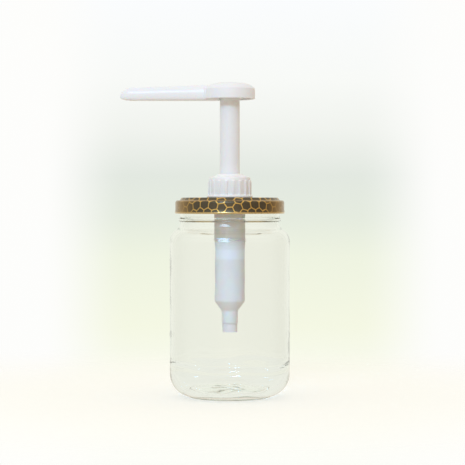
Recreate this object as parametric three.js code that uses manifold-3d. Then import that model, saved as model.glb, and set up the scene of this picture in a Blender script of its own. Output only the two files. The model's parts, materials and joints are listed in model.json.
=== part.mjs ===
// Condiment pump dispenser: a glass jar with a twist-off lid, and a hand pump clamped through the lid.
//
// Millimetres, +Z up. Everything is drawn about the common axis of the jar and the pump, with z = 0
// on the surface that the jar stands on. The whole assembly is then moved along X, so that the origin
// is at the centre of its footprint. The spout points along -X.

import * as THREE from "three";
import { mergeVertices } from "three/addons/utils/BufferGeometryUtils.js";
import Module from "manifold-3d";

const wasm = await Module();
wasm.setup();

// ---------------------------------------------------------------- driving dimensions

const GAP = 0.3; // left between neighbouring pieces
const FIT = 0.25; // radial clearance of the pieces that fit inside one another

// Glass jar.
const JAR_RADIUS = 43.9;
const JAR_HEIGHT = 141.4;
const JAR_WALL = 2.6;
const JAR_HEEL_RADIUS = 16.5;
const JAR_FOOT_RADIUS = 29.7; // outer edge of the ring that the jar stands on
const JAR_FOOT_HEIGHT = 0.8;
const JAR_FLOOR_Z = 3.6;
const JAR_FLOOR_RISE = 3.2; // how far the middle of the floor stands above its edge
const JAR_PUSH_UP = 2.4; // how far the underside is domed in
const JAR_RING_INNER = 26.5; // inner edge of the flat ring that the jar stands on
const JAR_SHOULDER_Z = 113.8; // where the straight wall ends
const JAR_SHOULDER_RADIUS = 10;
const JAR_NECK_RADIUS = 36.3;
const JAR_FINISH_RADIUS = 36.6;
const JAR_MOUTH_RADIUS = 33.4;
const JAR_BEAD_RADIUS = 37.4;
const JAR_BEAD_Z = 129.7;

// Twist-off closure: ramps on the glass, lugs on the lid.
const LUG_COUNT = 4;
const CLOSURE_LEAD = 16; // rise of the lid in one turn
const RAMP_RADIUS = 38.1;
const RAMP_THICKNESS = 1.6;
const RAMP_ANGLE = 80; // degrees
const LUG_ANGLE = 14; // degrees
const LUG_INNER_RADIUS = 37.05;
const LUG_THICKNESS = 1.5;
const LUG_OVERLAP = 10; // degrees of ramp before the middle of a closed lug

// Lid.
const SHEET = 0.6;
const LID_RADIUS = 40.25;
const LID_TOP_Z = 146;
const LID_BOTTOM_Z = 134.2;
const LID_PANEL_RADIUS = 35.4;
const LID_CHANNEL_Z = 144; // top of the outer channel that holds the liner
const LID_CORNER_RADIUS = 2.2; // between the channel and the skirt
const LID_HOLE_RADIUS = 14.2;
const CURL_RADIUS = 0.95;

// Collar and the bushing that it screws onto.
const COLLAR_RIB_COUNT = 18;
const COLLAR_RADIUS = 15.3;
const COLLAR_RIB_RADIUS = 15.8;
const COLLAR_FLANGE_RADIUS = 16.7;
const COLLAR_FLANGE_HEIGHT = 1.6;
const COLLAR_BOTTOM_Z = LID_TOP_Z + GAP;
const COLLAR_SHOULDER_Z = 160.9;
const COLLAR_TOP_Z = 163.3;
const COLLAR_BORE_RADIUS = 14.1;
const COLLAR_BOSS_RADIUS = 8.9;
const BUSHING_FLANGE_RADIUS = 16.5;
const BUSHING_FLANGE = 1.5;
const BUSHING_ROOT_RADIUS = 12.8;
const BUSHING_BORE_RADIUS = 11.65;
const BUSHING_TOP_Z = 157;
const THREAD_DEPTH = 1;
const THREAD_PITCH = 4;
const THREAD_TURNS = 1.5;
const GASKET = 1.2;

// Pump housing.
const HOUSING_BORE = 9.8;
const HOUSING_TOP_Z = 159.9;
const HOUSING_FLANGE = 1.5;
const HOUSING_FLANGE_RADIUS = 13.7;
const HOUSING_UPPER_RADIUS = 11.35;
const HOUSING_MID_RADIUS = 11.2;
const HOUSING_RADIUS = 11;
const HOUSING_RING_RADIUS = 11.75;
const HOUSING_RING_Z = 118.3; // upper ring; the lower one is HOUSING_RING_STEP below
const HOUSING_RING_STEP = 2;
const HOUSING_MID_BOTTOM_Z = 111;
const HOUSING_CONE_TOP_Z = 70.2;
const HOUSING_CONE_BOTTOM_Z = 63.2;
const SPIGOT_RADIUS = 5.8;
const SPIGOT_BOTTOM_Z = 54;
const SOCKET_RADIUS = 4.9;
const SEAT_Z = 62.9; // edge that the inlet ball rests on
const SEAT_RADIUS = 2.3;
const SOCKET_TOP_Z = SEAT_Z - 1.5;
const CAGE_LEDGE_Z = 71;

// Inlet tube.
const TUBE_RADIUS = 5.55;
const TUBE_BORE = 3.4;
const TUBE_BOTTOM_Z = 47.6;

// Moving column: stem, piston, valve, head.
const STROKE = 48;
const STROKE_CLEARANCE = 2.2; // left above the ledge of the cage at the end of the stroke
const STEM_RADIUS = 7.3;
const STEM_BORE = 5.4;
const STEM_FOOT_RADIUS = 6.6;
const STEM_FOOT_Z = 131.2; // shoulder above the piston seal
const STEM_BOTTOM_Z = CAGE_LEDGE_Z + STROKE + STROKE_CLEARANCE;
const STEM_TOP_Z = 220.1;
const SEAL_RADIUS = 9.7;
const SEAL_BOTTOM_Z = 123;
const SEAL_TOP_Z = 130.8;
const VALVE_BOTTOM_Z = 148.1;
const VALVE_TOP_Z = 159.2;
const VALVE_CHAMBER_RADIUS = 4.3;
const OUTLET_SEAT_RADIUS = 2.2;
const BALL_RADIUS = 3.175;
const BALL_LIFT = 2;

// Return spring.
const SPRING_RADIUS = 4.2; // to the middle of the wire
const WIRE_RADIUS = 0.5;
const SPRING_TURNS = 14;

// Push head and spout.
const HEAD_RADIUS = 18.5;
const HEAD_EDGE_RADIUS = 18.2; // where the dome meets the skirt
const HEAD_EDGE_Z = 225.8;
const HEAD_TOP_Z = 230.2;
const HEAD_BOTTOM_Z = 218.1;
const HEAD_WALL = 1.6;
const HUB_RADIUS = 9.2;
const HUB_BOTTOM_Z = 218.4;
const HEAD_PLUG_RADIUS = 5.2; // plug that goes down into the stem
const HEAD_PLUG_BORE = 3.2;
const HEAD_PLUG_BOTTOM_Z = 208;
const HEAD_WEB_COUNT = 6;
const SPOUT_REACH = 80.3;
const SPOUT_BOTTOM_Z = 216.8;
const SPOUT_ROOT_TOP_Z = 229;
const SPOUT_TIP_TOP_Z = 226.5; // at the start of the nose
const SPOUT_NOSE_LENGTH = 11;
const SPOUT_NOSE_Z = 219.6; // height of the foremost point
const SPOUT_HALF_WIDTH = 4.6;
const SPOUT_TIP_HALF_WIDTH = 3.9;
const CHANNEL_RADIUS = 2.5;
const CHANNEL_ROOT_Z = 223.7;
const CHANNEL_TIP_Z = 220.6;
const OUTLET_X = -74;

// Facets round each kind of piece.
const JAR_FACETS = 40;
const COLLAR_FACETS = 36;
const PUMP_FACETS = 24;
const BALL_FACETS = 16;

// ---------------------------------------------------------------- geometry helpers

const degrees = THREE.MathUtils.degToRad;
const point = (radius, z) => new THREE.Vector2(radius, z);

// Points of an arc in the half-plane of a profile; angles in degrees, 0 pointing away from the axis.
function arc(centreRadius, centreZ, radius, from, to, steps) {
  const points = [];
  for (let i = 0; i <= steps; i++) {
    const angle = degrees(from + ((to - from) * i) / steps);
    points.push(point(centreRadius + radius * Math.cos(angle), centreZ + radius * Math.sin(angle)));
  }
  return points;
}

// A closed geometry as a solid that can be joined and cut.
function solid(geometry) {
  const bare = new THREE.BufferGeometry();
  bare.setAttribute("position", geometry.getAttribute("position"));
  if (geometry.index) bare.setIndex(geometry.index);
  const merged = mergeVertices(bare, 1e-4);
  const faces = [];
  const corners = merged.index.array;
  for (let i = 0; i < corners.length; i += 3) {
    const [a, b, c] = [corners[i], corners[i + 1], corners[i + 2]];
    if (a !== b && b !== c && c !== a) faces.push(a, b, c);
  }
  return new wasm.Manifold(
    new wasm.Mesh({
      numProp: 3,
      vertProperties: new Float32Array(merged.attributes.position.array),
      triVerts: new Uint32Array(faces),
    }),
  );
}

function geometryOf(body) {
  const mesh = body.getMesh();
  const geometry = new THREE.BufferGeometry();
  const positions = new Float32Array(mesh.vertProperties);
  geometry.setAttribute("position", new THREE.BufferAttribute(positions, 3));
  geometry.setIndex(new THREE.BufferAttribute(new Uint32Array(mesh.triVerts), 1));
  return geometry;
}

// Solid of revolution. A profile that doesn't start and end on the axis is closed on itself.
function turned(profile, facets) {
  const points = [...profile];
  const last = points[points.length - 1];
  if (points[0].x > 0 || last.x > 0) points.push(points[0].clone());
  if (THREE.ShapeUtils.area(points) < 0) points.reverse();
  return solid(new THREE.LatheGeometry(points, facets).rotateX(Math.PI / 2));
}

function ring(inner, outer, bottom, top, facets) {
  const profile = [point(inner, bottom), point(outer, bottom), point(outer, top), point(inner, top)];
  return turned(profile, facets);
}

function rod(radius, bottom, top, facets) {
  return turned([point(0, bottom), point(radius, bottom), point(radius, top), point(0, top)], facets);
}

function ball(z) {
  const sphere = new THREE.SphereGeometry(BALL_RADIUS, BALL_FACETS, BALL_FACETS / 2);
  return solid(sphere.rotateX(Math.PI / 2).translate(0, 0, z));
}

// Height of a ball's centre above the round edge that it rests on, just clear of it.
function restingHeight(edgeRadius) {
  return Math.sqrt(BALL_RADIUS ** 2 - edgeRadius ** 2) + GAP / 2;
}

function block(width, depth, height, x, y, z) {
  return solid(new THREE.BoxGeometry(width, depth, height).translate(x, y, z));
}

function turnedBy(body, angle) {
  return body.rotate([0, 0, angle]);
}

// Solid through a row of convex sections that have the same number of points, wound either way.
function loft(sections) {
  const body = skinned(sections);
  return body.volume() > 0 ? body : skinned([...sections].reverse());
}

function skinned(sections) {
  const count = sections[0].length;
  const positions = sections.flat().flatMap((p) => [p.x, p.y, p.z]);
  const faces = [];
  for (let s = 0; s + 1 < sections.length; s++) {
    for (let i = 0; i < count; i++) {
      const a = s * count + i;
      const b = s * count + ((i + 1) % count);
      faces.push(a, b, b + count, a, b + count, a + count);
    }
  }
  const end = (sections.length - 1) * count;
  for (let i = 1; i + 1 < count; i++) {
    faces.push(0, i + 1, i);
    faces.push(end, end + i, end + i + 1);
  }
  const geometry = new THREE.BufferGeometry();
  geometry.setAttribute("position", new THREE.Float32BufferAttribute(positions, 3));
  geometry.setIndex(faces);
  return solid(geometry);
}

// A helical rib: the section is a closed list of (radius, z) points, swept and raised by lead per turn.
function helicalRib(section, from, to, lead, steps) {
  const sections = [];
  for (let s = 0; s <= steps; s++) {
    const turn = from + ((to - from) * s) / steps;
    const angle = degrees(turn);
    const rise = (lead * turn) / 360;
    const place = (p) => new THREE.Vector3(p.x * Math.cos(angle), p.x * Math.sin(angle), p.y + rise);
    sections.push(section.map(place));
  }
  return loft(sections);
}

function union(parts) {
  return parts.reduce((whole, part) => whole.add(part));
}

// ---------------------------------------------------------------- jar

// Half of a shallow dome, from the axis outwards; its edge is left out.
function domed(radius, edgeZ, rise) {
  return [
    point(0, edgeZ + rise),
    point(radius * 0.55, edgeZ + rise * 0.8),
    point(radius * 0.9, edgeZ + rise * 0.35),
  ];
}

function glassJar() {
  const heelTilt = 10; // degrees; the heel's arc starts here, at the top of the foot
  const heelCentreZ = JAR_FOOT_HEIGHT + JAR_HEEL_RADIUS * Math.cos(degrees(heelTilt));
  const heelCentre = JAR_RADIUS - JAR_HEEL_RADIUS;
  const shoulderCentre = JAR_RADIUS - JAR_SHOULDER_RADIUS;
  const shoulderEnd = 50; // degrees turned by the shoulder before the concave sweep to the neck
  const sweepRadius = 7;
  const sweepZ = 128.1;
  const beadHalf = 1.25;
  const lip = 0.7;
  const innerWall = JAR_RADIUS - JAR_WALL;
  const innerHeel = JAR_HEEL_RADIUS - JAR_WALL;
  const innerShoulder = JAR_SHOULDER_RADIUS - 1.8;
  const innerSweep = sweepRadius + 1;
  const outer = [
    ...domed(JAR_RING_INNER, 0, JAR_PUSH_UP),
    point(JAR_RING_INNER, 0),
    point(JAR_FOOT_RADIUS, 0),
    ...arc(heelCentre, heelCentreZ, JAR_HEEL_RADIUS, heelTilt - 90, 0, 6),
    ...arc(shoulderCentre, JAR_SHOULDER_Z, JAR_SHOULDER_RADIUS, 0, shoulderEnd, 4),
    ...arc(JAR_NECK_RADIUS + sweepRadius, sweepZ, sweepRadius, 180 + shoulderEnd, 180, 3),
    point(JAR_NECK_RADIUS, JAR_BEAD_Z - beadHalf - 0.3),
    ...arc(JAR_BEAD_RADIUS - beadHalf, JAR_BEAD_Z, beadHalf, -60, 60, 3),
    point(JAR_FINISH_RADIUS, JAR_BEAD_Z + beadHalf + 0.3),
    ...arc(JAR_FINISH_RADIUS - lip, JAR_HEIGHT - lip, lip, 0, 90, 2),
  ];
  const inner = [
    ...arc(JAR_MOUTH_RADIUS + lip, JAR_HEIGHT - lip, lip, 90, 180, 2),
    ...arc(JAR_MOUTH_RADIUS + innerSweep, sweepZ - 0.9, innerSweep, 180, 180 + shoulderEnd, 3),
    ...arc(innerWall - innerShoulder, JAR_SHOULDER_Z - 0.8, innerShoulder, shoulderEnd, 0, 3),
    ...arc(heelCentre, JAR_FLOOR_Z + innerHeel, innerHeel, 0, -90, 4),
    ...domed(heelCentre, JAR_FLOOR_Z, JAR_FLOOR_RISE).reverse(),
  ];
  const body = turned([...outer, ...inner], JAR_FACETS);
  return union([body, ...glassRamps()]);
}

// Height of the middle of a closed lug.
const lugZ = LID_BOTTOM_Z + 0.3 + LUG_THICKNESS / 2;

function glassRamps() {
  const bottom = lugZ + LUG_THICKNESS / 2 + GAP;
  const root = JAR_FINISH_RADIUS - 0.5;
  const section = [
    point(root, bottom),
    point(RAMP_RADIUS, bottom),
    point(RAMP_RADIUS, bottom + RAMP_THICKNESS * 0.7),
    point(root, bottom + RAMP_THICKNESS),
  ];
  const rib = helicalRib(section, -LUG_OVERLAP, RAMP_ANGLE - LUG_OVERLAP, CLOSURE_LEAD, 8);
  const spacing = 360 / LUG_COUNT;
  return Array.from({ length: LUG_COUNT }, (_, i) => turnedBy(rib, i * spacing));
}

// ---------------------------------------------------------------- lid

function twistOffLid() {
  const corner = LID_CORNER_RADIUS;
  const panelCorner = 0.8;
  const curlOpening = 0.25; // between the skirt and the edge of the sheet
  const curlCentre = LID_RADIUS - CURL_RADIUS;
  const curlZ = LID_BOTTOM_Z + CURL_RADIUS;
  const channelStart = LID_PANEL_RADIUS + 1.6;
  const underPanel = LID_TOP_Z - SHEET;
  const underChannel = LID_CHANNEL_Z - SHEET;
  const outside = [
    point(LID_HOLE_RADIUS, LID_TOP_Z),
    ...arc(LID_PANEL_RADIUS - panelCorner, LID_TOP_Z - panelCorner, panelCorner, 90, 20, 2),
    point(channelStart, LID_CHANNEL_Z),
    ...arc(LID_RADIUS - corner, LID_CHANNEL_Z - corner, corner, 90, 0, 3),
    ...arc(curlCentre, curlZ, CURL_RADIUS, 0, -180, 4),
  ];
  const inside = [
    point(LID_RADIUS - SHEET - curlOpening, curlZ + CURL_RADIUS + 0.3),
    ...arc(LID_RADIUS - corner, LID_CHANNEL_Z - corner, corner - SHEET, 0, 90, 3),
    point(channelStart - SHEET * 0.7, underChannel),
    point(LID_PANEL_RADIUS - SHEET - 0.4, underPanel),
    point(LID_HOLE_RADIUS, underPanel),
  ];
  const shell = turned([...outside, ...inside], JAR_FACETS);
  return union([shell, ...lidLugs()]);
}

function lidLugs() {
  const outer = LID_RADIUS - CURL_RADIUS;
  const low = lugZ - LUG_THICKNESS / 2;
  const high = lugZ + LUG_THICKNESS / 2;
  const section = [
    point(LUG_INNER_RADIUS, low + 0.3),
    point(outer, low),
    point(outer, high),
    point(LUG_INNER_RADIUS, high),
  ];
  const half = LUG_ANGLE / 2;
  const lug = helicalRib(section, -half, half, 0, 3);
  const spacing = 360 / LUG_COUNT;
  return Array.from({ length: LUG_COUNT }, (_, i) => turnedBy(lug, i * spacing));
}

// Ring of sealing compound: it fills the lid's channel and bears on the land of the glass.
function lidLiner() {
  const bottom = JAR_HEIGHT + GAP;
  const top = LID_CHANNEL_Z - SHEET - GAP;
  const outer = LID_RADIUS - LID_CORNER_RADIUS;
  const inner = LID_PANEL_RADIUS - 1.2;
  const lipTop = top + 1.2; // inner lip of the ring, up behind the panel
  const profile = [
    point(inner, bottom),
    point(outer, bottom),
    point(outer, top),
    point(LID_PANEL_RADIUS + 0.6, top),
    point(inner + 0.3, lipTop),
    point(inner, lipTop),
  ];
  return turned(profile, JAR_FACETS);
}

// ---------------------------------------------------------------- closure of the pump

const gasketTopZ = LID_TOP_Z - SHEET - GAP;
const bushingFlangeTopZ = gasketTopZ - GASKET - GAP;

function threadSection(root, crest) {
  const halfRoot = 0.7;
  const halfCrest = 0.4;
  return [point(root, -halfRoot), point(crest, -halfCrest), point(crest, halfCrest), point(root, halfRoot)];
}

function thread(root, crest, startZ) {
  const stepsPerTurn = 16;
  const steps = Math.round(stepsPerTurn * THREAD_TURNS);
  const rib = helicalRib(threadSection(root, crest), 0, 360 * THREAD_TURNS, THREAD_PITCH, steps);
  return rib.translate([0, 0, startZ]);
}

const threadStartZ = 148.2; // the collar follows half a pitch above

function neckBushing() {
  const flangeBottom = bushingFlangeTopZ - BUSHING_FLANGE;
  const profile = [
    point(BUSHING_BORE_RADIUS, flangeBottom),
    point(BUSHING_FLANGE_RADIUS - 0.5, flangeBottom),
    point(BUSHING_FLANGE_RADIUS, flangeBottom + 0.5),
    point(BUSHING_FLANGE_RADIUS, bushingFlangeTopZ),
    point(BUSHING_ROOT_RADIUS, bushingFlangeTopZ),
    point(BUSHING_ROOT_RADIUS, BUSHING_TOP_Z),
    point(BUSHING_BORE_RADIUS, BUSHING_TOP_Z),
  ];
  const crest = BUSHING_ROOT_RADIUS + THREAD_DEPTH;
  const rib = thread(BUSHING_ROOT_RADIUS - 0.4, crest, threadStartZ);
  return turned(profile, PUMP_FACETS).add(rib);
}

function bushingGasket() {
  const inner = BUSHING_ROOT_RADIUS + GAP;
  return ring(inner, BUSHING_FLANGE_RADIUS, gasketTopZ - GASKET, gasketTopZ, PUMP_FACETS);
}

function closureCollar() {
  const ribTop = COLLAR_SHOULDER_Z - 2.2;
  const flangeTop = COLLAR_BOTTOM_Z + COLLAR_FLANGE_HEIGHT;
  const plateUnderside = HOUSING_TOP_Z + GAP;
  const hole = STEM_RADIUS + 0.45;
  const shoulderFoot = COLLAR_BOSS_RADIUS + 4.2;
  const profile = [
    point(COLLAR_BORE_RADIUS, COLLAR_BOTTOM_Z),
    point(COLLAR_FLANGE_RADIUS, COLLAR_BOTTOM_Z),
    point(COLLAR_FLANGE_RADIUS, flangeTop - 0.3),
    point(COLLAR_RADIUS, flangeTop),
    point(COLLAR_RADIUS, ribTop),
    point(COLLAR_RADIUS - 0.3, COLLAR_SHOULDER_Z - 0.6),
    point(COLLAR_RADIUS - 0.8, COLLAR_SHOULDER_Z),
    point(shoulderFoot, COLLAR_SHOULDER_Z + 0.6),
    point(COLLAR_BOSS_RADIUS + 0.4, COLLAR_TOP_Z - 0.3),
    point(COLLAR_BOSS_RADIUS, COLLAR_TOP_Z),
    point(hole, COLLAR_TOP_Z),
    point(hole, plateUnderside),
    point(COLLAR_BORE_RADIUS, plateUnderside),
  ];
  const body = turned(profile, COLLAR_FACETS);
  const ribWidth = 2.5;
  const ribHeight = ribTop - flangeTop + 0.2;
  const ribZ = ribTop - ribHeight / 2;
  const depth = COLLAR_RIB_RADIUS - COLLAR_RADIUS + 0.5;
  const rib = block(depth, ribWidth, ribHeight, COLLAR_RIB_RADIUS - depth / 2, 0, ribZ);
  const spacing = 360 / COLLAR_RIB_COUNT;
  const ribs = Array.from({ length: COLLAR_RIB_COUNT }, (_, i) => turnedBy(rib, i * spacing));
  const crest = COLLAR_BORE_RADIUS - THREAD_DEPTH;
  const inward = thread(COLLAR_BORE_RADIUS + 0.4, crest, threadStartZ + THREAD_PITCH / 2);
  return union([body, ...ribs]).add(inward);
}

function housingGasket() {
  const bottom = BUSHING_TOP_Z + GAP;
  const top = HOUSING_TOP_Z - HOUSING_FLANGE - GAP;
  return ring(HOUSING_UPPER_RADIUS + GAP, HOUSING_FLANGE_RADIUS - 0.1, bottom, top, PUMP_FACETS);
}

// ---------------------------------------------------------------- pump housing

const guideFlange = 1.3;
const guideFlangeRadius = 11;

function housingRing(z) {
  const half = 0.5;
  return [
    point(HOUSING_UPPER_RADIUS, z + half),
    point(HOUSING_RING_RADIUS, z + half / 2),
    point(HOUSING_RING_RADIUS, z - half / 2),
    point(HOUSING_MID_RADIUS, z - half),
  ];
}

function pumpHousing() {
  const flangeBottom = HOUSING_TOP_Z - HOUSING_FLANGE;
  const recessBottom = HOUSING_TOP_Z - guideFlange - GAP;
  const profile = [
    point(guideFlangeRadius + 0.2, HOUSING_TOP_Z),
    point(guideFlangeRadius + 0.2, recessBottom),
    point(HOUSING_BORE, recessBottom),
    point(HOUSING_BORE, CAGE_LEDGE_Z),
    point(HOUSING_BORE - 0.9, CAGE_LEDGE_Z),
    point(SEAT_RADIUS + 2.1, SEAT_Z + 2.1),
    point(SEAT_RADIUS, SEAT_Z),
    point(SEAT_RADIUS, SOCKET_TOP_Z),
    point(SOCKET_RADIUS, SOCKET_TOP_Z),
    point(SOCKET_RADIUS, SPIGOT_BOTTOM_Z),
    point(SPIGOT_RADIUS, SPIGOT_BOTTOM_Z),
    point(SPIGOT_RADIUS, HOUSING_CONE_BOTTOM_Z),
    point(HOUSING_RADIUS, HOUSING_CONE_TOP_Z),
    point(HOUSING_RADIUS, HOUSING_MID_BOTTOM_Z - 0.4),
    point(HOUSING_MID_RADIUS, HOUSING_MID_BOTTOM_Z),
    ...housingRing(HOUSING_RING_Z - HOUSING_RING_STEP).reverse(),
    ...housingRing(HOUSING_RING_Z).reverse(),
    point(HOUSING_UPPER_RADIUS, flangeBottom),
    point(HOUSING_FLANGE_RADIUS, flangeBottom),
    point(HOUSING_FLANGE_RADIUS, HOUSING_TOP_Z),
  ];
  const ventRadius = 0.8;
  const vent = new THREE.CylinderGeometry(ventRadius, ventRadius, 4, 8);
  const ventZ = 139; // lets air into the jar above the level of the contents
  vent.rotateX(Math.PI / 2).translate(0, HOUSING_UPPER_RADIUS, ventZ);
  return turned(profile, PUMP_FACETS).subtract(solid(vent));
}

const wiperBottomZ = 157.2;
const wiperOuter = 8.9;

function stemGuide() {
  const bore = STEM_RADIUS + FIT;
  const outer = HOUSING_BORE - FIT;
  const top = HOUSING_TOP_Z - 0.1;
  const recess = wiperBottomZ - GAP;
  const profile = [
    point(bore, SEAL_TOP_Z + GAP),
    point(outer, SEAL_TOP_Z + GAP),
    point(outer, HOUSING_TOP_Z - guideFlange),
    point(guideFlangeRadius, HOUSING_TOP_Z - guideFlange),
    point(guideFlangeRadius, top),
    point(wiperOuter + 0.15, top),
    point(wiperOuter + 0.15, recess),
    point(bore, recess),
  ];
  return turned(profile, PUMP_FACETS);
}

function stemWiper() {
  const lip = STEM_RADIUS + 0.12;
  const root = STEM_RADIUS + 0.5;
  const top = HOUSING_TOP_Z - 0.1;
  const profile = [
    point(root, wiperBottomZ),
    point(wiperOuter, wiperBottomZ),
    point(wiperOuter, top),
    point(lip, top),
    point(lip, top - 0.6),
    point(root, top - 1.4),
  ];
  return turned(profile, PUMP_FACETS);
}

// Perforated disc on the ledge in the housing: it seats the spring and stops the inlet ball.
const cageBottomZ = CAGE_LEDGE_Z + GAP;
const cageTopZ = cageBottomZ + 1.2;
const inletBallZ = SEAT_Z + restingHeight(SEAT_RADIUS);

function ballCage() {
  const stopZ = inletBallZ + BALL_RADIUS + BALL_LIFT + 0.15;
  const stopRadius = 2;
  const outer = HOUSING_BORE - FIT;
  const collarRadius = SPRING_RADIUS - WIRE_RADIUS - 0.4;
  const collarTop = cageTopZ + 1.8; // keeps the spring centred
  const profile = [
    point(0, stopZ),
    point(stopRadius, stopZ),
    point(stopRadius + 0.4, cageBottomZ),
    point(outer, cageBottomZ),
    point(outer, cageTopZ),
    point(collarRadius, cageTopZ),
    point(collarRadius - 0.4, collarTop),
    point(0, collarTop),
  ];
  const holeCount = 6;
  const holeCentre = 7;
  const hole = rod(1.4, cageBottomZ - 1, cageTopZ + 1, 10).translate([holeCentre, 0, 0]);
  const spacing = 360 / holeCount;
  const holes = Array.from({ length: holeCount }, (_, i) => turnedBy(hole, i * spacing));
  return turned(profile, PUMP_FACETS).subtract(union(holes));
}

function inletTube() {
  const shoulder = SPIGOT_BOTTOM_Z - GAP;
  const top = SOCKET_TOP_Z - GAP;
  const profile = [
    point(TUBE_BORE, TUBE_BOTTOM_Z),
    point(TUBE_RADIUS, TUBE_BOTTOM_Z),
    point(TUBE_RADIUS, shoulder),
    point(SOCKET_RADIUS - FIT, shoulder),
    point(SOCKET_RADIUS - FIT, top),
    point(TUBE_BORE, top),
  ];
  return turned(profile, PUMP_FACETS);
}

// ---------------------------------------------------------------- moving column

function pumpStem() {
  const profile = [
    point(STEM_BORE, STEM_BOTTOM_Z),
    point(STEM_FOOT_RADIUS, STEM_BOTTOM_Z),
    point(STEM_FOOT_RADIUS, STEM_FOOT_Z),
    point(STEM_RADIUS, STEM_FOOT_Z),
    point(STEM_RADIUS, STEM_TOP_Z),
    point(STEM_BORE, STEM_TOP_Z),
  ];
  return turned(profile, PUMP_FACETS);
}

const sealBore = STEM_FOOT_RADIUS + 0.15;

// Two-lipped cup: a sleeve on the stem's foot, a web, and an outer skirt that is flared at both ends.
function pistonSeal() {
  const inner = sealBore;
  const sleeve = inner + 1.2;
  const lip = SEAL_RADIUS - 0.6;
  const lipRoot = lip - 0.2;
  const waist = SEAL_RADIUS - 0.25;
  const webLow = (SEAL_BOTTOM_Z + SEAL_TOP_Z) / 2 - 0.7;
  const webHigh = webLow + 1.4;
  const profile = [
    point(inner, SEAL_BOTTOM_Z),
    point(sleeve, SEAL_BOTTOM_Z),
    point(sleeve, webLow),
    point(lipRoot, webLow),
    point(lip, SEAL_BOTTOM_Z),
    point(SEAL_RADIUS, SEAL_BOTTOM_Z),
    point(waist, webLow),
    point(waist, webHigh),
    point(SEAL_RADIUS, SEAL_TOP_Z),
    point(lip, SEAL_TOP_Z),
    point(lipRoot, webHigh),
    point(sleeve, webHigh),
    point(sleeve, SEAL_TOP_Z),
    point(inner, SEAL_TOP_Z),
  ];
  return turned(profile, PUMP_FACETS);
}

function sealRetainer() {
  return ring(sealBore, SEAL_RADIUS - 0.8, STEM_BOTTOM_Z, SEAL_BOTTOM_Z - GAP, PUMP_FACETS);
}

const outletSeatZ = VALVE_BOTTOM_Z + 1.8;
const outletBallZ = outletSeatZ + restingHeight(OUTLET_SEAT_RADIUS);

function outletValveBody() {
  const outer = STEM_BORE - FIT;
  const lipBottom = outletBallZ + BALL_RADIUS + BALL_LIFT + 0.3;
  const lipRadius = BALL_RADIUS - 0.4;
  const cone = VALVE_CHAMBER_RADIUS - OUTLET_SEAT_RADIUS;
  const profile = [
    point(OUTLET_SEAT_RADIUS, VALVE_BOTTOM_Z),
    point(outer, VALVE_BOTTOM_Z),
    point(outer, VALVE_TOP_Z),
    point(lipRadius, VALVE_TOP_Z),
    point(lipRadius, lipBottom),
    point(VALVE_CHAMBER_RADIUS, lipBottom),
    point(VALVE_CHAMBER_RADIUS, outletSeatZ + cone),
    point(OUTLET_SEAT_RADIUS, outletSeatZ),
  ];
  const notchCount = 3;
  const notch = block(VALVE_CHAMBER_RADIUS, 2.2, 3, VALVE_CHAMBER_RADIUS / 2, 0, VALVE_TOP_Z);
  const spacing = 360 / notchCount;
  const notches = Array.from({ length: notchCount }, (_, i) => turnedBy(notch, i * spacing));
  return turned(profile, PUMP_FACETS).subtract(union(notches));
}

const springBottomZ = cageTopZ + 0.1;
const springTopZ = VALVE_BOTTOM_Z - 0.1;

class Helix extends THREE.Curve {
  getPoint(t, target = new THREE.Vector3()) {
    const angle = 2 * Math.PI * SPRING_TURNS * t;
    const low = springBottomZ + WIRE_RADIUS;
    const high = springTopZ - WIRE_RADIUS;
    const height = low + (high - low) * t;
    return target.set(SPRING_RADIUS * Math.cos(angle), SPRING_RADIUS * Math.sin(angle), height);
  }
}

function returnSpring() {
  const wire = new THREE.Shape(new THREE.Path().absarc(0, 0, WIRE_RADIUS, 0, 2 * Math.PI).getPoints(3));
  const steps = 9 * SPRING_TURNS;
  const path = new Helix();
  return solid(new THREE.ExtrudeGeometry(wire, { steps, bevelEnabled: false, extrudePath: path }));
}

// ---------------------------------------------------------------- head and spout

// Height of the dome: flat across the middle, falling ever faster towards the edge.
function domeZ(radius, top, edgeRadius, edgeZ) {
  const fullness = 3;
  const span = edgeRadius * 1.038;
  const rise = (r) => Math.sqrt(1 - (r / span) ** fullness);
  const scale = (top - edgeZ) / (1 - rise(edgeRadius));
  return top - scale * (1 - rise(radius));
}

function domePoints(top, edgeRadius, edgeZ, from, to, steps) {
  const points = [];
  for (let i = 0; i <= steps; i++) {
    const radius = from + ((to - from) * i) / steps;
    points.push(point(radius, domeZ(radius, top, edgeRadius, edgeZ)));
  }
  return points;
}

function headShell() {
  const inside = HEAD_RADIUS - HEAD_WALL;
  const underTop = HEAD_TOP_Z - HEAD_WALL;
  const underEdge = HEAD_EDGE_Z - HEAD_WALL;
  const socketRadius = STEM_RADIUS + FIT;
  const profile = [
    ...domePoints(HEAD_TOP_Z, HEAD_EDGE_RADIUS, HEAD_EDGE_Z, 0, HEAD_EDGE_RADIUS, 7),
    point(HEAD_RADIUS, HEAD_EDGE_Z - 0.3),
    point(HEAD_RADIUS, HEAD_BOTTOM_Z),
    point(inside, HEAD_BOTTOM_Z),
    ...domePoints(underTop, inside, underEdge, inside, HUB_RADIUS, 3),
    point(HUB_RADIUS, HUB_BOTTOM_Z),
    point(socketRadius, HUB_BOTTOM_Z),
    point(socketRadius, STEM_TOP_Z + GAP),
    point(HEAD_PLUG_RADIUS, STEM_TOP_Z + GAP),
    point(HEAD_PLUG_RADIUS, HEAD_PLUG_BOTTOM_Z),
    point(HEAD_PLUG_BORE, HEAD_PLUG_BOTTOM_Z),
    point(HEAD_PLUG_BORE, CHANNEL_ROOT_Z),
    point(0, CHANNEL_ROOT_Z),
  ];
  return turned(profile, COLLAR_FACETS);
}

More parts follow.
